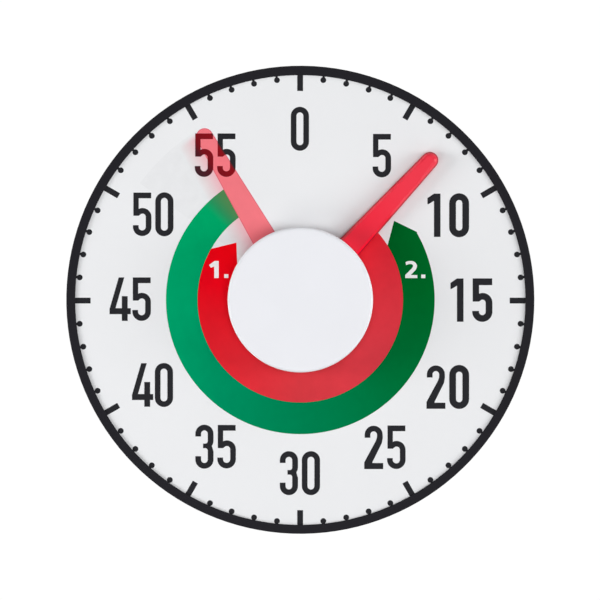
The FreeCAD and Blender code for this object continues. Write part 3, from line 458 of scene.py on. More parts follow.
    def hand_over(self, finish: "Finish", rides_on: str = "case") -> bpy.types.Object:
        """Dresses the finished piece and fits it to the timer.

        Args:
            finish: What it is coated or made with.
            rides_on: The body that it moves with.

        Returns:
            The finished object.
        """
        self.body.data.materials.clear()
        self.body.data.materials.append(finish.material())
        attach(self.body, rides_on)
        log.info("%s: %d faces", self.name, len(self.body.data.polygons))
        return self.body

    def replace(
        self, node: str, finish: "Finish", slot: str, rides_on: str = "case", flats: float = 35.0
    ) -> None:
        """Ends editing and shows the piece in place of one of the timer's parts.

        Args:
            node: The part that it is shown in place of.
            finish: What it is made with.
            slot: Not used.
            rides_on: The body that it moves with.
            flats: The sharpest edge, in degrees, that is still shaded smoothly.
        """
        self.close()
        self.smooth(flats)
        self.hand_over(finish, rides_on)
        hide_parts(node)


@dataclass(frozen=True)
class Tint:
    """A colour as it is mixed from a chip: red, green and blue from 0 to 255."""

    red: float
    green: float
    blue: float

    def scaled(self, factor: float = 1.0) -> Light:
        """Gives the colour as light, made lighter or darker by a factor, with a full alpha."""
        parts = (self._light(part / 255) for part in (self.red, self.green, self.blue))
        return tuple(min(1.0, part * factor) for part in parts) + (1.0,)

    @staticmethod
    def _light(part: float) -> float:
        """Turns one channel from its screen value into light."""
        return part / 12.92 if part <= 0.04045 else ((part + 0.055) / 1.055) ** 2.4


BLACK, WHITE = Tint(0, 0, 0), Tint(255, 255, 255)
Stops = Sequence[tuple[float, Tint]]


@dataclass(frozen=True)
class EdgeLine:
    """A straight edge on the face, from one point to another, in x and z."""

    start: Spot
    end: Spot

    def normal(self) -> Vector:
        """Gives the unit direction that points to the left of the edge, seen from the front."""
        along = Vector((self.end[0] - self.start[0], 0, self.end[1] - self.start[1])).normalized()
        return Vector((-along.z, 0, along.x))


class Recipe:
    """A node material being mixed, laid out in the piece's own object coordinates."""

    grain_range: Spot = (0.3, 0.7)
    rings_a_unit_apart: float = 0.31

    def __init__(self, name: str) -> None:
        """Starts an empty mix.

        Args:
            name: The material's name.
        """
        self.result = bpy.data.materials.new(name)
        self.result.use_nodes = True
        self.tree = self.result.node_tree
        self.tree.nodes.clear()
        self.shader = self.tree.nodes.new("ShaderNodeBsdfPrincipled")
        surface = self.tree.nodes.new("ShaderNodeOutputMaterial")
        self.tree.links.new(self.shader.outputs["BSDF"], surface.inputs["Surface"])
        self.place = self.step("ShaderNodeTexCoord", "Object")

    def step(
        self,
        kind: str,
        output: str | int,
        inputs: dict[str | int, object] | None = None,
        **settings: object,
    ) -> Socket:
        """Adds a node to the mix.

        Args:
            kind: The node's type.
            output: Which of its outputs is wanted.
            inputs: For each input, the socket that feeds it or the value that it has.
            settings: The node's own settings.

        Returns:
            The wanted output.
        """
        node = self.tree.nodes.new(kind)
        for key, value in settings.items():
            setattr(node, key, value)
        for key, value in (inputs or {}).items():
            if isinstance(value, bpy.types.NodeSocket):
                self.tree.links.new(value, node.inputs[key])
            else:
                node.inputs[key].default_value = value
        return node.outputs[output]

    def noise(
        self, size: float, detail: float = 3.0, stretch: Sequence[float] = (1, 1, 1)
    ) -> Socket:
        """Lays a noise over the piece.

        Args:
            size: The grain's size in millimetres.
            detail: How many finer layers it has.
            stretch: How far the grain is drawn out along x, y and z.

        Returns:
            The noise's value.
        """
        drawn = {"Vector": self.place, "Scale": [1 / part for part in stretch]}
        place = self.step("ShaderNodeMapping", "Vector", drawn)
        grain = {"Vector": place, "Scale": 1 / (size * MM), "Detail": detail}
        return self.step("ShaderNodeTexNoise", "Fac", grain)

    def rings(self, pitch: float, wander: float) -> Socket:
        """Lays turning marks round the arbor's direction over the piece.

        Args:
            pitch: The distance from one mark to the next in millimetres.
            wander: How far the marks wander.

        Returns:
            The marks' value.
        """
        scale = self.rings_a_unit_apart / (pitch * MM)
        marks = {"Vector": self.place, "Scale": scale, "Distortion": wander, "Detail": 2.0}
        return self.step(
            "ShaderNodeTexWave", "Fac", marks, wave_type="RINGS", rings_direction="Y"
        )

    def spread(
        self, value: Socket, source: Spot, target: Spot = (0.0, 1.0), how: str = "SMOOTHSTEP"
    ) -> Socket:
        """Spreads a value over a range.

        Args:
            value: The value.
            source: The range that it is read in.
            target: The range that this becomes.
            how: The kind of passage from one end to the other.

        Returns:
            The new value.
        """
        ends = ("From Min", "From Max", "To Min", "To Max")
        inputs = {"Value": value, **dict(zip(ends, source + target))}
        return self.step("ShaderNodeMapRange", "Result", inputs, interpolation_type=how)

    def between(self, noise: Socket, low: float, high: float) -> Socket:
        """Spreads a noise over a range."""
        return self.spread(noise, self.grain_range, (low, high), "LINEAR")

    def ramp(self, value: Socket, stops: Sequence[tuple[float, Light]]) -> Socket:
        """Turns a value from 0 to 1 into a run of colours.

        Args:
            value: The value.
            stops: Each stop's value and its colour, in rising order.

        Returns:
            The colour.
        """
        colour = self.step("ShaderNodeValToRGB", "Color", {"Fac": value})
        points = colour.node.color_ramp.elements
        while len(points) < len(stops):
            points.new(1.0)
        for point, (at, light) in zip(points, stops):
            point.position = at
            point.color = light
        return colour

    def run(self, value: Socket, stops: Stops) -> Socket:
        """Turns a value from 0 to 1 into a run of tints."""
        return self.ramp(value, [(at, tint.scaled()) for at, tint in stops])

    def mottled(self, tint: Tint, amount: float, noise: Socket) -> Socket:
        """Varies a tint by a share, down and up, with a noise."""
        lights = (tint.scaled(1 - amount), tint.scaled(1 + amount))
        return self.ramp(noise, list(zip(self.grain_range, lights)))

    def blend(self, share: Socket, under: Socket, over: Socket, how: str = "MIX") -> Socket:
        """Lays a colour over another, by a share, in Blender's named way."""
        inputs = {0: share, 6: under, 7: over}
        return self.step("ShaderNodeMix", 2, inputs, data_type="RGBA", blend_type=how)

    def clock_turn(self) -> Socket:
        """Gives each point's clock angle on the face.

        Returns:
            A value from 0 at twelve to 1 after a whole turn.
        """
        parts = self.step("ShaderNodeSeparateXYZ", "X", {"Vector": self.place}).node.outputs
        left, down = (
            self.step("ShaderNodeMath", "Value", {0: parts[axis], 1: -1.0}, operation="MULTIPLY")
            for axis in ("X", "Z")
        )
        turned = self.step("ShaderNodeCombineXYZ", "Vector", {"X": down, "Y": left})
        return self.step(
            "ShaderNodeTexGradient", "Fac", {"Vector": turned}, gradient_type="RADIAL"
        )

    def past_edge(self, edge: EdgeLine, reach: float) -> Socket:
        """Gives how far each point lies past a straight edge on the face.

        Args:
            edge: The edge.
            reach: The distance in millimetres that counts as 1.

        Returns:
            A value from 0 at the edge to 1 at the reach.
        """
        start = Vector((edge.start[0], 0, edge.start[1])) * MM
        way = edge.normal() / (reach * MM)
        away = self.step(
            "ShaderNodeVectorMath", "Vector", {0: self.place, 1: start}, operation="SUBTRACT"
        )
        return self.step(
            "ShaderNodeVectorMath", "Value", {0: away, 1: way}, operation="DOT_PRODUCT"
        )

    def from_arbor(self, radii: Spot) -> Socket:
        """Gives how far each point lies from the arbor's line.

        Args:
            radii: The distances in millimetres that count as 0 and as 1.

        Returns:
            A value from 0 to 1.
        """
        flat = self.step(
            "ShaderNodeVectorMath", "Vector", {0: self.place, 1: (1, 0, 1)}, operation="MULTIPLY"
        )
        reach = self.step("ShaderNodeVectorMath", "Value", {0: flat}, operation="LENGTH")
        return self.spread(reach, (radii[0] * MM, radii[1] * MM))

    def up_from(self, levels: Spot) -> Socket:
        """Gives, from 0 to 1, how far each point stands forward between two planes."""
        height = self.step("ShaderNodeSeparateXYZ", "Y", {"Vector": self.place})
        return self.spread(height, (levels[0] * MM, levels[1] * MM))

    def constant(self, socket: str, value: float) -> None:
        """Sets one of the shader's own sockets."""
        self.shader.inputs[socket].default_value = value

    def coat(
        self, colour: Socket, cloud: Socket, roughness: Spot, grain: Socket, height: float
    ) -> None:
        """Gives the surface its colour, its gloss and its fine relief.

        Args:
            colour: The colour.
            cloud: The noise that the roughness follows.
            roughness: Between which values it varies.
            grain: The noise that raises the surface.
            height: Its height in millimetres.
        """
        raised = {"Strength": 1.0, "Distance": height * MM, "Height": grain}
        for socket, source in (
            ("Base Color", colour),
            ("Roughness", self.between(cloud, *roughness)),
            ("Normal", self.step("ShaderNodeBump", "Normal", raised)),
        ):
            self.tree.links.new(source, self.shader.inputs[socket])

    def ink(self, colour: Socket, shine: float = 0.08) -> None:
        """Makes the surface a thin layer of screen ink of a colour, which shines a little."""
        self.constant("Specular IOR Level", shine)
        self.coat(colour, self.noise(3.0, 4.0), (0.45, 0.55), self.noise(0.35, 2.0), 0.003)

    def laid_thin(self, colour: Socket, chip: float = 248.0, amount: float = 0.03) -> Socket:
        """Dims a colour softly and unevenly, as a thin layer of ink does.

        Args:
            colour: The colour.
            chip: The grey that it is multiplied with, from 0 to 255.
            amount: The share by which the grey varies.

        Returns:
            The new colour.
        """
        soft = self.mottled(Tint(chip, chip, chip), amount, self.noise(6.0, 4.0))
        share = self.between(self.noise(5.0, 3.0), 0.6, 0.9)
        return self.blend(share, colour, soft, "MULTIPLY")


class Finish:
    """What a surface is coated or made with. Its material is mixed once."""

    mixed: dict[str, bpy.types.Material] = {}
    name: str

    def material(self) -> bpy.types.Material:
        """Gives the finish's material, and mixes it at the first call.

        Returns:
            The material.
        """
        if self.name not in Finish.mixed:
            recipe = Recipe(self.name)
            self.mix(recipe)
            Finish.mixed[self.name] = recipe.result
        return Finish.mixed[self.name]

    def mix(self, recipe: Recipe) -> None:
        """Puts the finish's own nodes into a recipe."""
        raise NotImplementedError


@dataclass(frozen=True)
class MouldedPlastic(Finish):
    """Injection-moulded or sheet plastic, with a fine tool texture and faint flow clouds."""

    name: str
    tint: Tint
    roughness: float
    grain: float
    depth: float
    clouds: float
    shine: float = 0.5

    def mix(self, recipe: Recipe) -> None:
        """Mixes the plastic.

        Args:
            recipe: The recipe that the nodes go into.
        """
        recipe.constant("Specular IOR Level", self.shine)
        recipe.coat(
            recipe.mottled(self.tint, self.clouds, recipe.noise(38.0, 4.0)),
            recipe.noise(9.0, 5.0),
            (self.roughness - 0.04, self.roughness + 0.05),
            recipe.noise(self.grain, 2.0),
            self.depth,
        )


@dataclass(frozen=True)
class ShadePaintedPlastic(Finish):
    """Glossy moulded plastic with a darker band of painted shade round the piece at one height.

    Its colour is a little deeper near the arbor, as painted shade from the knob, and paler further
    out, as painted sheen.
    """

    name: str
    tint: Tint
    # The red near the knob, darkened as painted shade; the outer tint is paled as painted sheen,
    # and the span of radii below is where one gives way to the other.
    deep: Tint
    shade_to_sheen: Spot
    # The dark red of the band low on the arm, which is painted shade.
    painted_foot_shade: Tint
    levels: Spot
    line: Stops = ((0.0, BLACK), (0.3, BLACK), (0.45, WHITE), (0.6, WHITE), (1.0, BLACK))
    roughness: Spot = (0.28, 0.33)
    shine: float = 0.36

    def mix(self, recipe: Recipe) -> None:
        """Mixes the plastic, with the band of painted shade midway between the two planes.

        Args:
            recipe: The recipe that the nodes go into.
        """
        recipe.constant("Specular IOR Level", self.shine)
        cloud = recipe.noise(38.0, 4.0)
        # Deeper red near the knob is painted shade; the paler red further out is painted sheen.
        body = recipe.blend(
            recipe.from_arbor(self.shade_to_sheen),
            recipe.mottled(self.deep, 0.012, cloud),
            recipe.mottled(self.tint, 0.012, cloud),
        )
        # A darker band along the lower edge of the arm's sides: painted shade where the arm stands
        # over the dial.
        painted_foot_shade = recipe.mottled(self.painted_foot_shade, 0.02, recipe.noise(9.0, 3.0))
        line = recipe.run(recipe.up_from(self.levels), self.line)
        colour = recipe.blend(line, body, painted_foot_shade)
        recipe.coat(
            colour, recipe.noise(16.0, 2.0), self.roughness, recipe.noise(0.5, 2.0), 0.005
        )


@dataclass(frozen=True)
class ScreenInk(Finish):
    """One colour of screen ink, a thin layer with a slightly uneven edge-to-edge lay."""

    name: str
    tint: Tint

    def mix(self, recipe: Recipe) -> None:
        """Mixes the ink."""
        recipe.ink(recipe.mottled(self.tint, 0.02, recipe.noise(7.0, 4.0)))


@dataclass(frozen=True)
class SweptInk(Finish):
    """Screen ink whose colour runs from tint to tint, at clock angles round the face."""

    name: str
    stops: Stops

    def mix(self, recipe: Recipe) -> None:
        """Mixes the ink."""
        shares = [(angle / 360, tint) for angle, tint in self.stops]
        recipe.ink(recipe.laid_thin(recipe.run(recipe.clock_turn(), shares)), shine=0.0)


@dataclass(frozen=True)
class EdgedInk(Finish):
    """Screen ink whose colour runs from tint to tint with the distance past a straight edge."""

    name: str
    edge: EdgeLine
    reach: float
    stops: Stops

    def mix(self, recipe: Recipe) -> None:
        """Mixes the ink, with its stops as shares of the reach."""
        colour = recipe.run(recipe.past_edge(self.edge, self.reach), self.stops)
        recipe.ink(recipe.laid_thin(colour))


@dataclass(frozen=True)
class FadingInk(Finish):
    """Halftone ink that runs as edged ink does and fades out at the end of its trail."""

    name: str
    edge: EdgeLine
    reach: float
    stops: Stops
    bare: Tint
    fades_out: Spot

    def mix(self, recipe: Recipe) -> None:
        """Mixes the ink, with its stops as shares of the reach.

        Args:
            recipe: The recipe that the nodes go into.
        """
        colour = recipe.run(recipe.past_edge(self.edge, self.reach), self.stops)
        bare = recipe.mottled(self.bare, 0.006, recipe.noise(38.0, 4.0))
        colour = recipe.blend(recipe.from_arbor(self.fades_out), colour, bare)
        recipe.ink(recipe.laid_thin(colour, 250.0, 0.02))


class Working(Enum):
    """How a metal's surface was worked."""

    TURNED = "turned"
    ROLLED = "rolled"
    PLATED = "plated"


@dataclass(frozen=True)
class Metal(Finish):
    """A metal with the marks of its making."""

    name: str
    tint: Tint
    roughness: float
    working: Working
    stain: float = 0.06

    def mix(self, recipe: Recipe) -> None:
        """Mixes the metal.

        Args:
            recipe: The recipe that the nodes go into.
        """
        recipe.constant("Metallic", 1.0)
        if self.working is Working.TURNED:
            marks, height = recipe.rings(0.28, 1.5), 0.006
        elif self.working is Working.ROLLED:
            marks, height = recipe.noise(0.4, 3.0, (26, 1, 1)), 0.006
        else:
            marks, height = recipe.noise(1.1, 2.0), 0.004
        cloud = recipe.noise(11.0, 5.0)
        colour = recipe.mottled(self.tint, self.stain, cloud)
        recipe.coat(colour, cloud, (self.roughness - 0.05, self.roughness + 0.08), marks, height)


SCREW_STEEL = Metal("zinc_screw_steel", Tint(196, 198, 204), 0.32, Working.PLATED)


class Weight(Enum):
    """How heavy a numeral is drawn: its stroke and the width of a nought, in grid steps."""

    PLAIN = (3.6 / GRID, 11.63 / GRID)
    HEAVY = (4.3 / GRID, 12.72 / GRID)


# The figures' outlines on the drawing grid, across and down from the upper left corner. An arc
# is ("arc", centre across, centre down, degrees), and goes on from the point before it.
DIGIT_PATHS = {
    "1": (
        (0, 4.5), (6.5, 0), (13.0, 0), (13.0, 43.3), (6.5, 43.3), (6.5, 7.2), (0.6, 10.8),
        (0, 10.5),
    ),
    "2": (
        (0.4, 12.4), (0.4, 9.33), ("arc", 9.4, 9.33, 180), (18.4, 12.6), (17.6, 17.6),
        (8.1, 36.7), (8.1, 37.6), (18.9, 37.6), (18.9, 43.7), (0.0, 43.7), (0.0, 36.9),
        (11.5, 15.6), (12.6, 12.4), (12.75, 9.33), ("arc", 9.4, 9.33, -180), (6.05, 12.4),
    ),
    "3": (
        (0.15, 11.8), (0.15, 9.05), ("arc", 9.2, 9.05, 180), (18.25, 16.2),
        ("arc", 10.1, 16.2, 37), (18.25, 26.8), (18.25, 34.95), ("arc", 9.2, 34.95, 180),
        (0.15, 31.5), (5.85, 31.5), (5.85, 34.95), ("arc", 9.2, 34.95, -180),
        (12.55, 26.0), ("arc", 10.0, 26.0, -90), (7.8, 23.45), (7.8, 18.9), (10.0, 18.9),
        ("arc", 10.0, 16.35, -90), (12.55, 9.05), ("arc", 9.2, 9.05, -180), (5.85, 11.8),
    ),
    "4": (
        (9.15, 0), (14.7, 0), (6.0, 30.8), (12.3, 30.8), (12.3, 18.75), (18.1, 18.75),
        (18.1, 30.8), (21.2, 30.8), (21.2, 36.8), (18.1, 36.8), (18.1, 43.5),
        (12.3, 43.5), (12.3, 36.8), (0, 36.8), (0, 31.7),
    ),
}
STEP_NUMBER_PATHS = {
    "winding_step_number": (
        (0.25, 4.3), (5.75, 0.3), (9.9, 0.3), (9.9, 17.3), (5.45, 17.3), (5.45, 5.8),
        (2.05, 7.0),
    ),
    "setting_step_number": (
        (0.6, 1.4), (2.4, 0.6), (4.6, 0.25), (6.8, 0.25), (9.1, 0.9), (10.9, 2.3), (12.1, 4.9),
        (11.75, 7.2), (10.6, 9.2), (5.9, 14.35), (12.35, 14.35), (12.35, 17.4), (0.25, 17.4),
        (0.25, 14.3), (6.8, 7.7), (8.0, 5.9), (7.9, 4.3), (6.5, 3.35), (4.2, 3.35), (1.1, 4.4),
    ),
}


@dataclass
class DigitCutter:
    """Draws figures, each with its upper left corner at the origin."""

    round_steps: int = 16
    height: float = 44.0

    def spot(self, across: float, down: float) -> tuple[float, float, float]:
        """Gives a point of the drawing grid as a place, in millimetres."""
        return (across * GRID, INK_REAR, -down * GRID)

    def outline(self, name: str, path: Sequence[tuple]) -> Workpiece:
        """Draws a closed outline and gives it the ink's thickness.

        Args:
            name: The piece's name.
            path: Points of the grid and arcs, clockwise if their degrees are positive.

        Returns:
            The figure, closed for editing.
        """
        piece = Workpiece.from_point(name, self.spot(*path[0]))
        for step in path[1:]:
            if step[0] == "arc":
                steps = max(3, round(abs(step[3]) / 180 * self.round_steps))
                piece.sweep(step[3], self.spot(step[1], step[2]), steps)
            else:
                piece.draw_to([self.spot(*step)])
        piece.fill()
        return self.thicken(piece)

    def thicken(self, piece: Workpiece) -> Workpiece:
        """Draws the selected flat face out to the ink's thickness.

        Args:
            piece: The piece, open for editing.

        Returns:
            The piece, closed for editing.
        """
        piece.extrude((0, INK_FRONT - INK_REAR, 0))
        piece.heal()
        piece.close()
        return piece

    def digit(self, digit: str, weight: Weight) -> Workpiece:
        """Draws a digit from 0 to 5.

        Args:
            digit: The digit.
            weight: How heavy it is. Only a 0 and a 5 differ by weight.

        Returns:
            The digit, closed for editing.
        """
        name = f"digit_{digit}_{weight.name}"
        if digit == "0":
            return self.nought(name, *weight.value)
        return self.outline(name, DIGIT_PATHS.get(digit) or self.five(*weight.value))

    def nought(self, name: str, stroke: float, breadth: float) -> Workpiece:
        """Draws a 0: two upright round-ended loops, bridged to a ring.

        Args:
            name: The piece's name.
            stroke: The stroke's width.
            breadth: The digit's width.

        Returns:
            The digit, closed for editing.
        """
        outer = breadth / 2
        piece = Workpiece.from_point(name, self.spot(0, outer))
        for radius in (outer, outer - stroke):
            left = outer - radius
            if left:
                bpy.ops.mesh.select_all(action="DESELECT")
                mesh = bmesh.from_edit_mesh(piece.body.data)
                start = mesh.verts.new(Vector(self.spot(left, outer)) * MM)
                start.select_set(True)
                bmesh.update_edit_mesh(piece.body.data)
            piece.sweep(180, self.spot(outer, outer), self.round_steps)
            piece.draw_to([self.spot(outer + radius, self.height - outer)])
            piece.sweep(180, self.spot(outer, self.height - outer), self.round_steps)
            piece.draw_to([self.spot(left, outer)])
        piece.weld(LINE_WELD)
        bpy.ops.mesh.bridge_edge_loops()
        piece.select_all()
        return self.thicken(piece)

    def five(self, stroke: float, breadth: float) -> tuple[tuple, ...]:
        """Gives the outline of a 5: a flag, a short stem and a round bowl.

        Args:
            stroke: The stroke's width.
            breadth: The width of a nought of the same weight.

        Returns:
            The path.
        """
        wide = breadth + 0.3
        outer = wide / 2
        stem = stroke - 0.3
        shoulder = outer - 0.35
        lift = math.sqrt(shoulder**2 - (wide - shoulder - 0.45 - stem) ** 2)
        start = math.degrees(math.asin(lift / shoulder))
        return (
            (0.45, 0), (wide - 0.2, 0), (wide - 0.2, stroke + 0.1), (0.45 + stem, stroke + 0.1),
            (0.45 + stem, 24.3 - lift), ("arc", wide - shoulder, 24.3, 180 - start),
            (wide, 43.5 - outer), ("arc", outer, 43.5 - outer, 180), (0, 32.6),
            (stroke, 32.6), (stroke, 43.5 - outer), ("arc", outer, 43.5 - outer, -180),
            (wide - stroke, 24.3), ("arc", wide - shoulder, 24.3, -125),
            (0.45 + stem, 23.2), (0.45, 23.2),
        )


@dataclass
class Arrow:
    """A printed band round the knob that ends in a point. Its corners are in x and z."""

    name: str
    finish: Finish
    radii: Spot
    start: float
    turn: float
    tip: Spot
    outer: Spot
    inner: Spot
    step_degrees: float = 2.0

    def build(self) -> None:
        """Prints the arrow: the band, its root and then its point."""
        piece = Workpiece.from_section(self.name, self.radii, ARROW_FRONT, self.start)
        piece.sweep(self.turn, (0, 0, 0), round(abs(self.turn) / self.step_degrees))
        middle = sum(self.radii) / 2
        for near, far in ((self.inner, self.outer), (self.tip, self.tip)):
            piece.extrude((0, 0, 0))
            mesh = bmesh.from_edit_mesh(piece.body.data)
            for vertex in mesh.verts:
                if vertex.select:
                    reach = math.hypot(vertex.co.x, vertex.co.z) / MM
                    target = near if reach < middle else far
                    vertex.co.x, vertex.co.z = target[0] * MM, target[1] * MM
            bmesh.update_edit_mesh(piece.body.data)
        piece.heal()
        piece.close()
        piece.hand_over(self.finish)


@dataclass
class StartMark:
    """The pale picture of the pointer at 55, with the trail that it leaves.

    Its outline is two circles on one line from the arbor, and their tangents.
    """

    degrees: float = -30.4
    root_radius: float = 8.75
    tip_radius: float = 5.4
    reach: float = 121.2
    root_reach: float = 24.0
    cut_reach: float = 44.0
    arc_steps: int = 24
    border: float = 0.45
    pink: Finish = ScreenInk("start_mark_pink_ink", Tint(246, 123, 132))
    edge_ink: Finish = ScreenInk("start_mark_edge_ink", Tint(226, 100, 116))
    trail_radii: Spot = (44.0, 127.0)
    trail_start: float = 330.0
    trail_turn: int = -24
    trail_ink: Finish = FadingInk(
        "start_mark_trail_ink",
        EdgeLine((-30.05, 36.2), (-55.6, 83.2)),
        15.0,
        (
            (0.0, Tint(244, 188, 195)), (0.2, Tint(241, 200, 206)), (0.42, Tint(237, 215, 218)),
            (0.62, Tint(236, 226, 228)), (0.85, Tint(238, 239, 241)), (1.0, Tint(239, 240, 242)),
        ),
        bare=Tint(239, 240, 242),
        fades_out=(122.0, 126.8),
    )

    def build(self) -> None:
        """Prints the trail and then the pointer, with a darker line along its edge."""
        piece = Workpiece.from_section(
            "start_mark_trail", self.trail_radii, TRAIL_FRONT, self.trail_start
        )
        piece.sweep(self.trail_turn, (0, 0, 0), abs(self.trail_turn))
        piece.heal()
        piece.close()
        piece.hand_over(self.trail_ink)
        piece = self.draw("start_mark_pointer")
        piece.extrude((0, GHOST_FRONT - INK_REAR, 0))
        piece.heal()
        piece.pick_front()
        piece.inset(self.border)
        piece.close()
        body = piece.hand_over(self.pink)
        body.data.materials.append(self.edge_ink.material())
        for face in body.data.polygons:
            if len(face.vertices) == 4 and face.normal.y < FORWARD:
                face.material_index = 1

    def draw(self, name: str) -> Workpiece:
        """Draws the pointer's outline as one flat face.

        Args:
            name: The piece's name.

        Returns:
            The piece, open for editing, with its face selected.
        """
        lean = math.asin((self.root_radius - self.tip_radius) / (self.reach - self.root_reach))
        turn = math.degrees(lean)
        centre = on_face(self.reach, self.degrees, INK_REAR)
        left = centre + on_face(self.tip_radius, self.degrees - 90 + turn, 0)
        right = centre + on_face(self.tip_radius, self.degrees + 90 - turn, 0)
        back = self.reach - self.cut_reach + self.tip_radius * math.sin(lean)
        along = on_face(back, self.degrees, 0)
        side = on_face(back * math.tan(lean), self.degrees + 90, 0)
        piece = Workpiece.from_point(name, left - along - side)
        piece.draw_to([left])
        piece.sweep(180 - 2 * turn, centre, self.arc_steps)
        piece.draw_to([right - along + side])
        piece.fill()
        return piece


@dataclass
class DialPrint:
    """The dial's print: minute marks, numerals and the winding picture."""

    minute: float = 6.0
    ring_radius: float = 144.25
    dot_radius: float = 1.85
    dot_circle: float = 142.04
    dot_sides: int = 28
    neck_width: float = 1.7
    bar_width: float = 3.7
    bar_inner: float = 134.3
    bar_rounding: float = 0.12
    under_ring: float = 0.9
    scale_offset: Spot = (-0.12, -0.52)
    border_radius: float = 144.26
    border_offset: Spot = (0.02, -0.35)
    border_steps: int = 180
    numerals: tuple[tuple[str, Spot], ...] = (
        ("0", (-0.27, 109.56)), ("5", (52.22, 92.35)), ("10", (94.8, 54.15)),
        ("15", (109.65, -0.22)), ("20", (94.5, -55.87)), ("25", (54.2, -94.5)),
        ("30", (-0.3, -111.1)), ("35", (-54.34, -94.15)), ("40", (-94.72, -54.6)),
        ("45", (-109.02, 0.4)), ("50", (-94.28, 54.75)), ("55", (-54.55, 92.65)),
    )
    heavy: tuple[str, ...] = ("10", "15", "20")
    gaps: tuple[tuple[str, float], ...] = (
        ("0", 2.5), ("1", 5.6), ("2", 2.5), ("3", 2.5), ("4", 1.05), ("5", 2.5),
    )
    black: Finish = ScreenInk("black_screen_ink", Tint(38, 38, 42))
    white: Finish = ScreenInk("white_screen_ink", Tint(252, 252, 252))
    marked_numeral: str = "55"
    marked_black: Finish = EdgedInk(
        "start_mark_numeral_ink",
        EdgeLine((-15.3, 42.9), (-55.2, 104.9)),
        34.0,
        (
            (0.0, Tint(38, 38, 42)), (0.04, Tint(142, 8, 22)), (0.34, Tint(122, 10, 24)),
            (0.43, Tint(84, 22, 33)), (0.62, Tint(66, 32, 40)), (0.85, Tint(42, 38, 42)),
        ),
    )
    arrows: tuple[Arrow, ...] = (
        Arrow(
            "winding_arrow",
            SweptInk(
                "red_arrow_ink",
                (
                    # Some stops, most of all at 90°, 280° and 312°, are lighter than the print's
                    # own red: painted light that offsets the shade the knob casts on the band.
                    (43, Tint(244, 40, 56)), (90, Tint(237, 59, 71)), (125, Tint(224, 63, 74)),
                    (180, Tint(219, 61, 69)), (235, Tint(241, 41, 53)), (280, Tint(250, 9, 30)),
                    (312, Tint(252, 5, 18)),
                ),
            ),
            (43.5, 65.85), 43.0, 249.0,
            tip=(-40.95, 36.65), outer=(-57.35, 32.6), inner=(-40.2, 16.9),
        ),
        Arrow(
            "setting_arrow",
            SweptInk(
                "green_arrow_ink",
                (
                    # The stops at 85° and 265° are lighter than the print's own green: painted
                    # light that offsets the shade the knob casts on the band.
                    (50, Tint(0, 99, 37)), (85, Tint(0, 110, 43)), (130, Tint(0, 115, 58)),
                    (175, Tint(0, 131, 81)), (220, Tint(0, 148, 100)), (265, Tint(0, 171, 113)),
                    (314.5, Tint(0, 171, 106)), (318.5, Tint(45, 148, 94)),
                    (323, Tint(82, 138, 84)),
                ),
            ),
            (65.8, 86.1), 328.5, -268.2,
            tip=(60.1, 50.6), outer=(74.8, 43.4), inner=(55.9, 34.8),
        ),
    )
    step_numbers: tuple[tuple[str, Spot, Spot, Spot], ...] = (
        ("winding_step_number", (208.8, 260.7), (15.4, 13.5), (19.5, 17.3)),
        ("setting_step_number", (404.98, 260.68), (16.25, 13.85), (20.35, 17.45)),
    )

    def build(self) -> None:
        """Prints the whole dial, from the scale to the winding picture."""
        self.print_border()
        self.print_dots()
        self.print_bars()
        self.print_numerals()
        for arrow in self.arrows:
            arrow.build()
        StartMark().build()
        for name, corner, dot_start, dot_end in self.step_numbers:
            self.print_step_number(name, corner, dot_start, dot_end)

    def set_in_place(self, piece: Workpiece, offset: Spot) -> None:
        """Moves a piece of the scale to where the print lies, and inks it.

        Args:
            piece: The piece, open for editing, made about the arbor.
            offset: How far the print lies from there, in x and z.
        """
        piece.heal()
        piece.select_all()
        bpy.ops.transform.translate(value=Vector((offset[0], 0, offset[1])) * MM)
        piece.close()
        piece.hand_over(self.black)

    def print_border(self) -> None:
        """Prints the black line round the scale, which shows as a sliver inside the rim."""
        radii = (self.border_radius, self.border_radius + self.under_ring)
        piece = Workpiece.from_section("scale_border", radii, BORDER_FRONT)
        bpy.ops.mesh.delete(type="ONLY_FACE")
        piece.select_all()
        piece.sweep(360, (0, 0, 0), self.border_steps)
        self.set_in_place(piece, self.border_offset)

    def print_dots(self) -> None:
        """Prints the minute dots, each with its neck to the rim: four, then twelve times round.

        The turn's sense depends on whether there is a window, so a first dot that came out
        before twelve is turned on.
        """
        centre = (0, (INK_REAR + INK_FRONT) / 2, self.dot_circle)
        piece = Workpiece.from_disc(
            "minute_dots", centre, self.dot_radius, INK_REAR - INK_FRONT, self.dot_sides
        )
        half = self.neck_width / 2
        piece.pick_faces(lambda middle, normal: normal.z > 0.5 and abs(middle.x) < half)
        neck = self.ring_radius + self.under_ring - self.dot_circle - self.dot_radius
        piece.extrude((0, 0, neck))
        piece.select_all()
        piece.turn(-self.minute)
        if sum(v.co.x for v in bmesh.from_edit_mesh(piece.body.data).verts) < 0:
            piece.turn(2 * self.minute)
        piece.repeat(4, self.minute)
        piece.repeat(12, 5 * self.minute)
        self.set_in_place(piece, self.scale_offset)

    def print_bars(self) -> None:
        """Prints the twelve five-minute bars, whose inner corners are a little rounded."""
        outer = self.ring_radius + self.under_ring
        piece = Workpiece.from_block(
            "five_minute_bars",
            (0, (INK_REAR + INK_FRONT) / 2, (self.bar_inner + outer) / 2),
            (self.bar_width, INK_REAR - INK_FRONT, outer - self.bar_inner),
        )
        piece.pick_edges(
            lambda one, other: math.hypot(one.x - other.x, one.z - other.z) < 0.1
            and one.z < outer - 1
        )
        piece.bevel(self.bar_rounding, 2)
        piece.repeat(12, 5 * self.minute)
        self.set_in_place(piece, self.scale_offset)

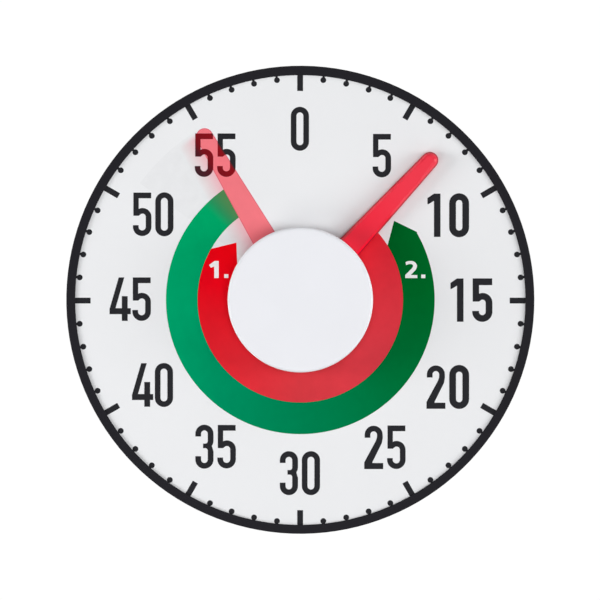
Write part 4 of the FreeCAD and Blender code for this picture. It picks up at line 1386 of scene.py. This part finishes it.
    def print_numerals(self) -> None:
        """Prints the twelve numerals, from digits that are drawn once for each weight."""
        cutter = DigitCutter()
        drawn: dict[tuple[str, Weight], Workpiece] = {}
        after = dict(self.gaps)
        for words, (across, up) in self.numerals:
            weight = Weight.HEAVY if words in self.heavy else Weight.PLAIN
            for digit in words:
                if (digit, weight) not in drawn:
                    drawn[digit, weight] = cutter.digit(digit, weight)
            digits = [drawn[digit, weight] for digit in words]
            widths = [max(v.co.x for v in d.body.data.vertices) / MM for d in digits]
            gaps = [after[digit] for digit in words[:-1]] + [0.0]
            left = across - (sum(widths) + sum(gaps)) / 2
            name = f"numeral_{words}"
            set_out = []
            for digit, width, gap in zip(digits, widths, gaps):
                tall = -min(v.co.z for v in digit.body.data.vertices) / MM
                set_out.append(digit.copy_to(name, (left, 0, up + tall / 2)))
                left += width + gap
            numeral = set_out[0]
            numeral.join(set_out[1:])
            numeral.body.name = name
            numeral.hand_over(self.marked_black if words == self.marked_numeral else self.black)
        for digit in drawn.values():
            bpy.data.objects.remove(digit.body)

    def print_step_number(self, name: str, corner: Spot, start: Spot, end: Spot) -> None:
        """Prints a white step number, with its dot, on an arrow.

        Args:
            name: The piece's name.
            corner: Where its upper left corner is on the drawing grid.
            start: The dot's upper left corner, from the figure's.
            end: The dot's lower right corner, from the figure's.
        """
        cutter = DigitCutter(round_steps=10)
        figure = cutter.outline(name, STEP_NUMBER_PATHS[name])
        dot = cutter.outline("dot", (start, (end[0], start[1]), end, (start[0], end[1])))
        figure.join([dot])
        step = ((corner[0] - GRID_CENTRE[0]) * GRID, 0, (GRID_CENTRE[1] - corner[1]) * GRID)
        placed = figure.copy_to(name, step)
        bpy.data.objects.remove(figure.body)
        placed.body.name = name
        placed.hand_over(self.white)


@dataclass
class Rim:
    """The black front ring that holds the dial, with a softly broken front edge."""

    edges: tuple[tuple[float, float, float], ...] = (
        (149.6, -33.2, 0.25), (150.0, -32.8, 0.25), (144.25, -33.2, 0.3),
    )
    finish: Finish = MouldedPlastic("rim_black_abs", Tint(25, 24, 30), 0.55, 0.35, 0.01, 0.03, 0.16)

    def build(self, part: bpy.types.Object) -> None:
        """Takes the ring's part and rounds its edges, each given by radius, plane and rounding.

        Args:
            part: The part that the dressed ring is shown in place of.
        """
        piece = Workpiece.from_part("rim_band", part)
        for radius, level, width in self.edges:
            if piece.pick_ring(radius, level):
                piece.bevel(width, 3)
        piece.replace("rim_ring", self.finish, "case_black")


@dataclass
class Knob:
    """The white moulded knob, a deep ribbed cap whose front edge is rounded over."""

    edges: tuple[Spot, ...] = ((44.7, -52.0), (45.95, -51.45), (46.5, -50.2))
    rounding: float = 0.6
    finish: Finish = MouldedPlastic("knob_white_abs", Tint(241, 242, 247), 0.45, 0.6, 0.006, 0.01)

    def build(self, part: bpy.types.Object) -> None:
        """Takes the knob's part and rounds the steps of its front edge into one curve.

        Args:
            part: The part that the dressed knob is shown in place of.
        """
        piece = Workpiece.from_part("knob_body", part)
        for radius, level in self.edges:
            if piece.pick_ring(radius, level):
                piece.bevel(self.rounding, 3)
        piece.replace("knob_cap", self.finish, "knob_white", "turning_set")


@dataclass
class Pointer:
    """The red pointer, whose arm has a softly crowned top.

    Its edges are given by plane, rounding and number of flats.
    """

    edges: tuple[tuple[float, float, int], ...] = ((-38.4, 1.1, 6), (-35.2, 0.35, 3))
    clear_of_hub: float = 44.6
    finish: Finish = ShadePaintedPlastic(
        # The outer red is paled as painted sheen, and the red near the knob is darkened as painted
        # shade.
        "pointer_red_abs", Tint(245, 48, 70), Tint(246, 18, 52), shade_to_sheen=(50.0, 110.0),
        # The dark red band low on the arm, between these two planes, is painted shade.
        painted_foot_shade=Tint(146, 10, 28), levels=(-34.2, -37.0),
    )

    def build(self, part: bpy.types.Object) -> None:
        """Takes the pointer's part and rounds the arm's edges.

        Args:
            part: The part that the dressed pointer is shown in place of.
        """
        piece = Workpiece.from_part("pointer_body", part)
        for level, width, segments in self.edges:

            def on_arm(point: Vector, level: float = level) -> bool:
                """Tells if a point is on this edge of the arm, clear of the hub."""
                reach = math.hypot(point.x, point.z)
                return abs(point.y - level) < NEAR and reach > self.clear_of_hub

            if piece.pick_edges(lambda one, other: on_arm(one) and on_arm(other)):
                piece.bevel(width, segments)
        piece.replace("pointer", self.finish, "pointer_red", "turning_set")


@dataclass
class CrossScrews:
    """A set of cross-recessed screws that look to the rear, modelled once and set round."""

    name: str
    stands_for: str
    count: int
    first_degrees: float
    circle: float
    top: float
    head_radius: float
    head_height: float
    shank_radius: float
    length: float
    countersunk: bool
    rounding: float
    rounding_flats: int
    sides: int = 40
    tip: float = 0.6
    tip_taper: float = 0.6
    recess: tuple[float, float, float] = (3.0, 0.75, 1.0)
    recess_taper: float = 0.55
    clearance: float = 0.4

    def build(self) -> None:
        """Shapes one screw, cuts its cross and copies it round the arbor."""
        place = on_face(self.circle, self.first_degrees, self.top - self.head_height / 2)
        piece = Workpiece.from_disc(
            self.name, place, self.head_radius, self.head_height, self.sides
        )
        piece.pick_front()
        if self.countersunk:
            piece.taper(self.shank_radius / self.head_radius)
        else:
            piece.inset(self.head_radius - self.shank_radius)
        piece.extrude((0, self.tip - self.length, 0))
        piece.extrude((0, -self.tip, 0))
        piece.taper(self.tip_taper)
        piece.pick_ring(self.head_radius, self.top, (place.x, place.z))
        piece.bevel(self.rounding, self.rounding_flats)
        piece.close()
        long, wide, deep = self.recess
        floor = self.top - deep / 2 + self.clearance / 2
        for across, up in ((long, wide), (wide, long)):
            slot = Workpiece.from_block(
                "slot", (place.x, floor, place.z), (across, deep + self.clearance, up)
            )
            slot.pick_front()
            slot.taper(self.recess_taper)
            slot.close()
            piece.cut_away(slot)
        piece.open()
        piece.repeat(self.count, 360 / self.count)
        piece.replace(self.stands_for, SCREW_STEEL, "screw_steel", flats=30.0)


@dataclass
class Movement:
    """The parts that keep their own mesh, in lots that share a finish."""

    lots: tuple[tuple[Finish, str], ...] = (
        (
            MouldedPlastic("dial_white_sheet", Tint(239, 240, 242), 0.5, 0.4, 0.003, 0.006),
            "dial_plate",
        ),
        (
            MouldedPlastic("case_black_abs", Tint(40, 40, 43), 0.55, 0.5, 0.02, 0.04),
            "rear_shell movement_drum",
        ),
        (
            MouldedPlastic("cover_black_abs", Tint(43, 43, 46), 0.6, 0.8, 0.03, 0.04),
            "back_cover",
        ),
        (
            MouldedPlastic("slip_plastic", Tint(236, 234, 226), 0.35, 0.5, 0.004, 0.02),
            "glide_washer",
        ),
        (
            SCREW_STEEL,
            "drum_screws knob_screws pillar_screws movement_screws bell_screw magnet_cups",
        ),
        (
            Metal("turned_bright_steel", Tint(206, 207, 210), 0.22, Working.TURNED),
            "stop_pin plate_pillars main_arbor second_arbor third_arbor escape_arbor"
            " anchor_arbor pallet_pins hammer_pivot bell_post spring_post hammer_spring_post"
            " anchor hammer",
        ),
        (
            Metal("blued_spring_steel", Tint(92, 104, 142), 0.3, Working.ROLLED, 0.25),
            "mainspring hammer_spring clutch_washer",
        ),
        (Metal("magnet_nickel", Tint(214, 211, 204), 0.18, Working.PLATED), "magnets"),
        (Metal("bell_nickel", Tint(218, 216, 210), 0.12, Working.TURNED, 0.03), "bell"),
        (
            Metal("rolled_plate_brass", Tint(222, 188, 112), 0.3, Working.ROLLED),
            "movement_front_plate movement_rear_plate",
        ),
        (
            Metal("turned_wheel_brass", Tint(226, 192, 112), 0.24, Working.TURNED),
            "main_wheel second_wheel third_wheel escape_wheel trip_cam front_bush rear_bush",
        ),
    )

    def dress(self, nodes: dict[str, bpy.types.Object]) -> None:
        """Gives every part that keeps its mesh its finish.

        Args:
            nodes: The timer's parts by name.
        """
        for finish, names in self.lots:
            for name in names.split():
                nodes[name].data.materials.clear()
                nodes[name].data.materials.append(finish.material())
                log.info("%s: %s", name, finish.name)


@dataclass(frozen=True)
class Lamp:
    """A soft round lamp, placed by a clock angle on the face and a rise in front of it."""

    name: str
    degrees: float
    rise: float
    power: float
    size: float
    distance: float = 3800.0

    def hang(self) -> None:
        """Hangs the lamp and aims it at the timer. With a negative rise, it hangs behind it."""
        rise = math.radians(self.rise)
        place = on_face(
            self.distance * math.cos(rise), self.degrees, -self.distance * math.sin(rise)
        )
        lamp = bpy.data.lights.new(self.name, "AREA")
        lamp.shape = "DISK"
        lamp.size = self.size * MM
        lamp.energy = self.power
        holder = bpy.data.objects.new(self.name, lamp)
        bpy.context.scene.collection.objects.link(holder)
        holder.location = place * MM
        holder.rotation_euler = (-place).to_track_quat("-Z", "Y").to_euler()
        holder.visible_camera = False


@dataclass
class Studio:
    """A plain white room, lit across the face from both sides, with a pale floor."""

    frame_width: float = 384.48
    film_width: float = 36.0
    distance: float = 11000.0
    centre: Spot = (-0.205, -0.147)
    floor_level: float = -220.0
    floor_radius: float = 900.0
    floor_depth: float = 4.0
    floor_sides: int = 96
    paper: Finish = MouldedPlastic("floor_paper", Tint(236, 236, 236), 0.7, 2.0, 0.02, 0.01)
    wall_light: float = 1.02
    room_light: float = 0.21
    lamps: tuple[Lamp, ...] = (
        Lamp("right_light", 90.0, 20.0, 128.0, 2300.0, 5500.0),
        Lamp("right_fill_light", 90.0, 42.0, 21.0, 2000.0),
        Lamp("lower_right_light", 135.0, 20.0, 15.0, 1600.0),
        Lamp("left_light", 270.0, 21.0, 33.0, 1000.0, 2400.0),
        Lamp("lower_left_light", 225.0, 36.0, 29.0, 2000.0),
        Lamp("front_light", 133.0, 74.0, 18.0, 1200.0),
        Lamp("top_light", 32.0, 28.0, 19.0, 1600.0),
        Lamp("rear_top_light", 338.0, -34.0, 120.0, 1600.0),
        Lamp("rear_side_light", 75.0, -50.0, 60.0, 2000.0),
    )

    def build(self) -> None:
        """Sets up the light, the floor and the camera."""
        self.light_room()
        for lamp in self.lamps:
            lamp.hang()
        self.lay_floor()
        self.set_camera()

    def light_room(self) -> None:
        """Makes the room white to look at, and evenly but faintly lit."""
        scene = bpy.context.scene
        scene.view_settings.view_transform = "Standard"
        scene.world = bpy.data.worlds.new("white_room")
        scene.world.use_nodes = True
        tree = scene.world.node_tree
        tree.nodes.clear()
        path = tree.nodes.new("ShaderNodeLightPath")
        choice = tree.nodes.new("ShaderNodeMixShader")
        result = tree.nodes.new("ShaderNodeOutputWorld")
        tree.links.new(path.outputs["Is Camera Ray"], choice.inputs["Fac"])
        for slot, strength in ((1, self.room_light), (2, self.wall_light)):
            light = tree.nodes.new("ShaderNodeBackground")
            light.inputs["Color"].default_value = (1, 1, 1, 1)
            light.inputs["Strength"].default_value = strength
            tree.links.new(light.outputs["Background"], choice.inputs[slot])
        tree.links.new(choice.outputs["Shader"], result.inputs["Surface"])

    def lay_floor(self) -> None:
        """Lays the floor, a pale disc below what the camera sees."""
        bpy.ops.object.select_all(action="DESELECT")
        bpy.ops.mesh.primitive_cylinder_add(
            vertices=self.floor_sides,
            radius=self.floor_radius * MM,
            depth=self.floor_depth * MM,
            location=(0, 0, (self.floor_level - self.floor_depth / 2) * MM),
        )
        floor = bpy.context.object
        floor.name = "studio_floor"
        floor.data.materials.append(self.paper.material())
        floor.visible_shadow = False
        floor.visible_diffuse = False

    def set_camera(self) -> None:
        """Sets the camera square in front of the dial, far off with a long lens."""
        lens = bpy.data.cameras.new("front_camera")
        lens.sensor_width = self.film_width
        lens.lens = self.film_width * self.distance / self.frame_width
        lens.clip_end = 100.0
        camera = bpy.data.objects.new("front_camera", lens)
        bpy.context.scene.collection.objects.link(camera)
        camera.location = Vector((self.centre[0], FACE - self.distance, self.centre[1])) * MM
        camera.rotation_euler = (math.pi / 2, 0, 0)
        bpy.context.scene.camera = camera


def main() -> None:
    """Builds and dresses the timer, part by part."""
    logging.basicConfig(level=logging.INFO, format="%(message)s")
    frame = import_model()
    Studio().build()
    parts = frame["nodes"]
    Movement().dress(parts)
    Rim().build(parts["rim_ring"])
    Knob().build(parts["knob_cap"])
    Pointer().build(parts["pointer"])
    CrossScrews(
        name="shell_screws", stands_for="case_screws", count=6, first_degrees=30.0, circle=138.0,
        top=-16.2, head_radius=3.1, head_height=1.8, shank_radius=1.5, length=9.0,
        countersunk=False, rounding=0.99, rounding_flats=5,
    ).build()
    CrossScrews(
        name="cover_screws", stands_for="back_cover_screws", count=4, first_degrees=0.0,
        circle=72.0, top=-0.15, head_radius=2.9, head_height=1.5, shank_radius=1.4, length=6.5,
        countersunk=True, rounding=0.12, rounding_flats=2,
    ).build()
    DialPrint().build()


if __name__ == "__main__":
    main()
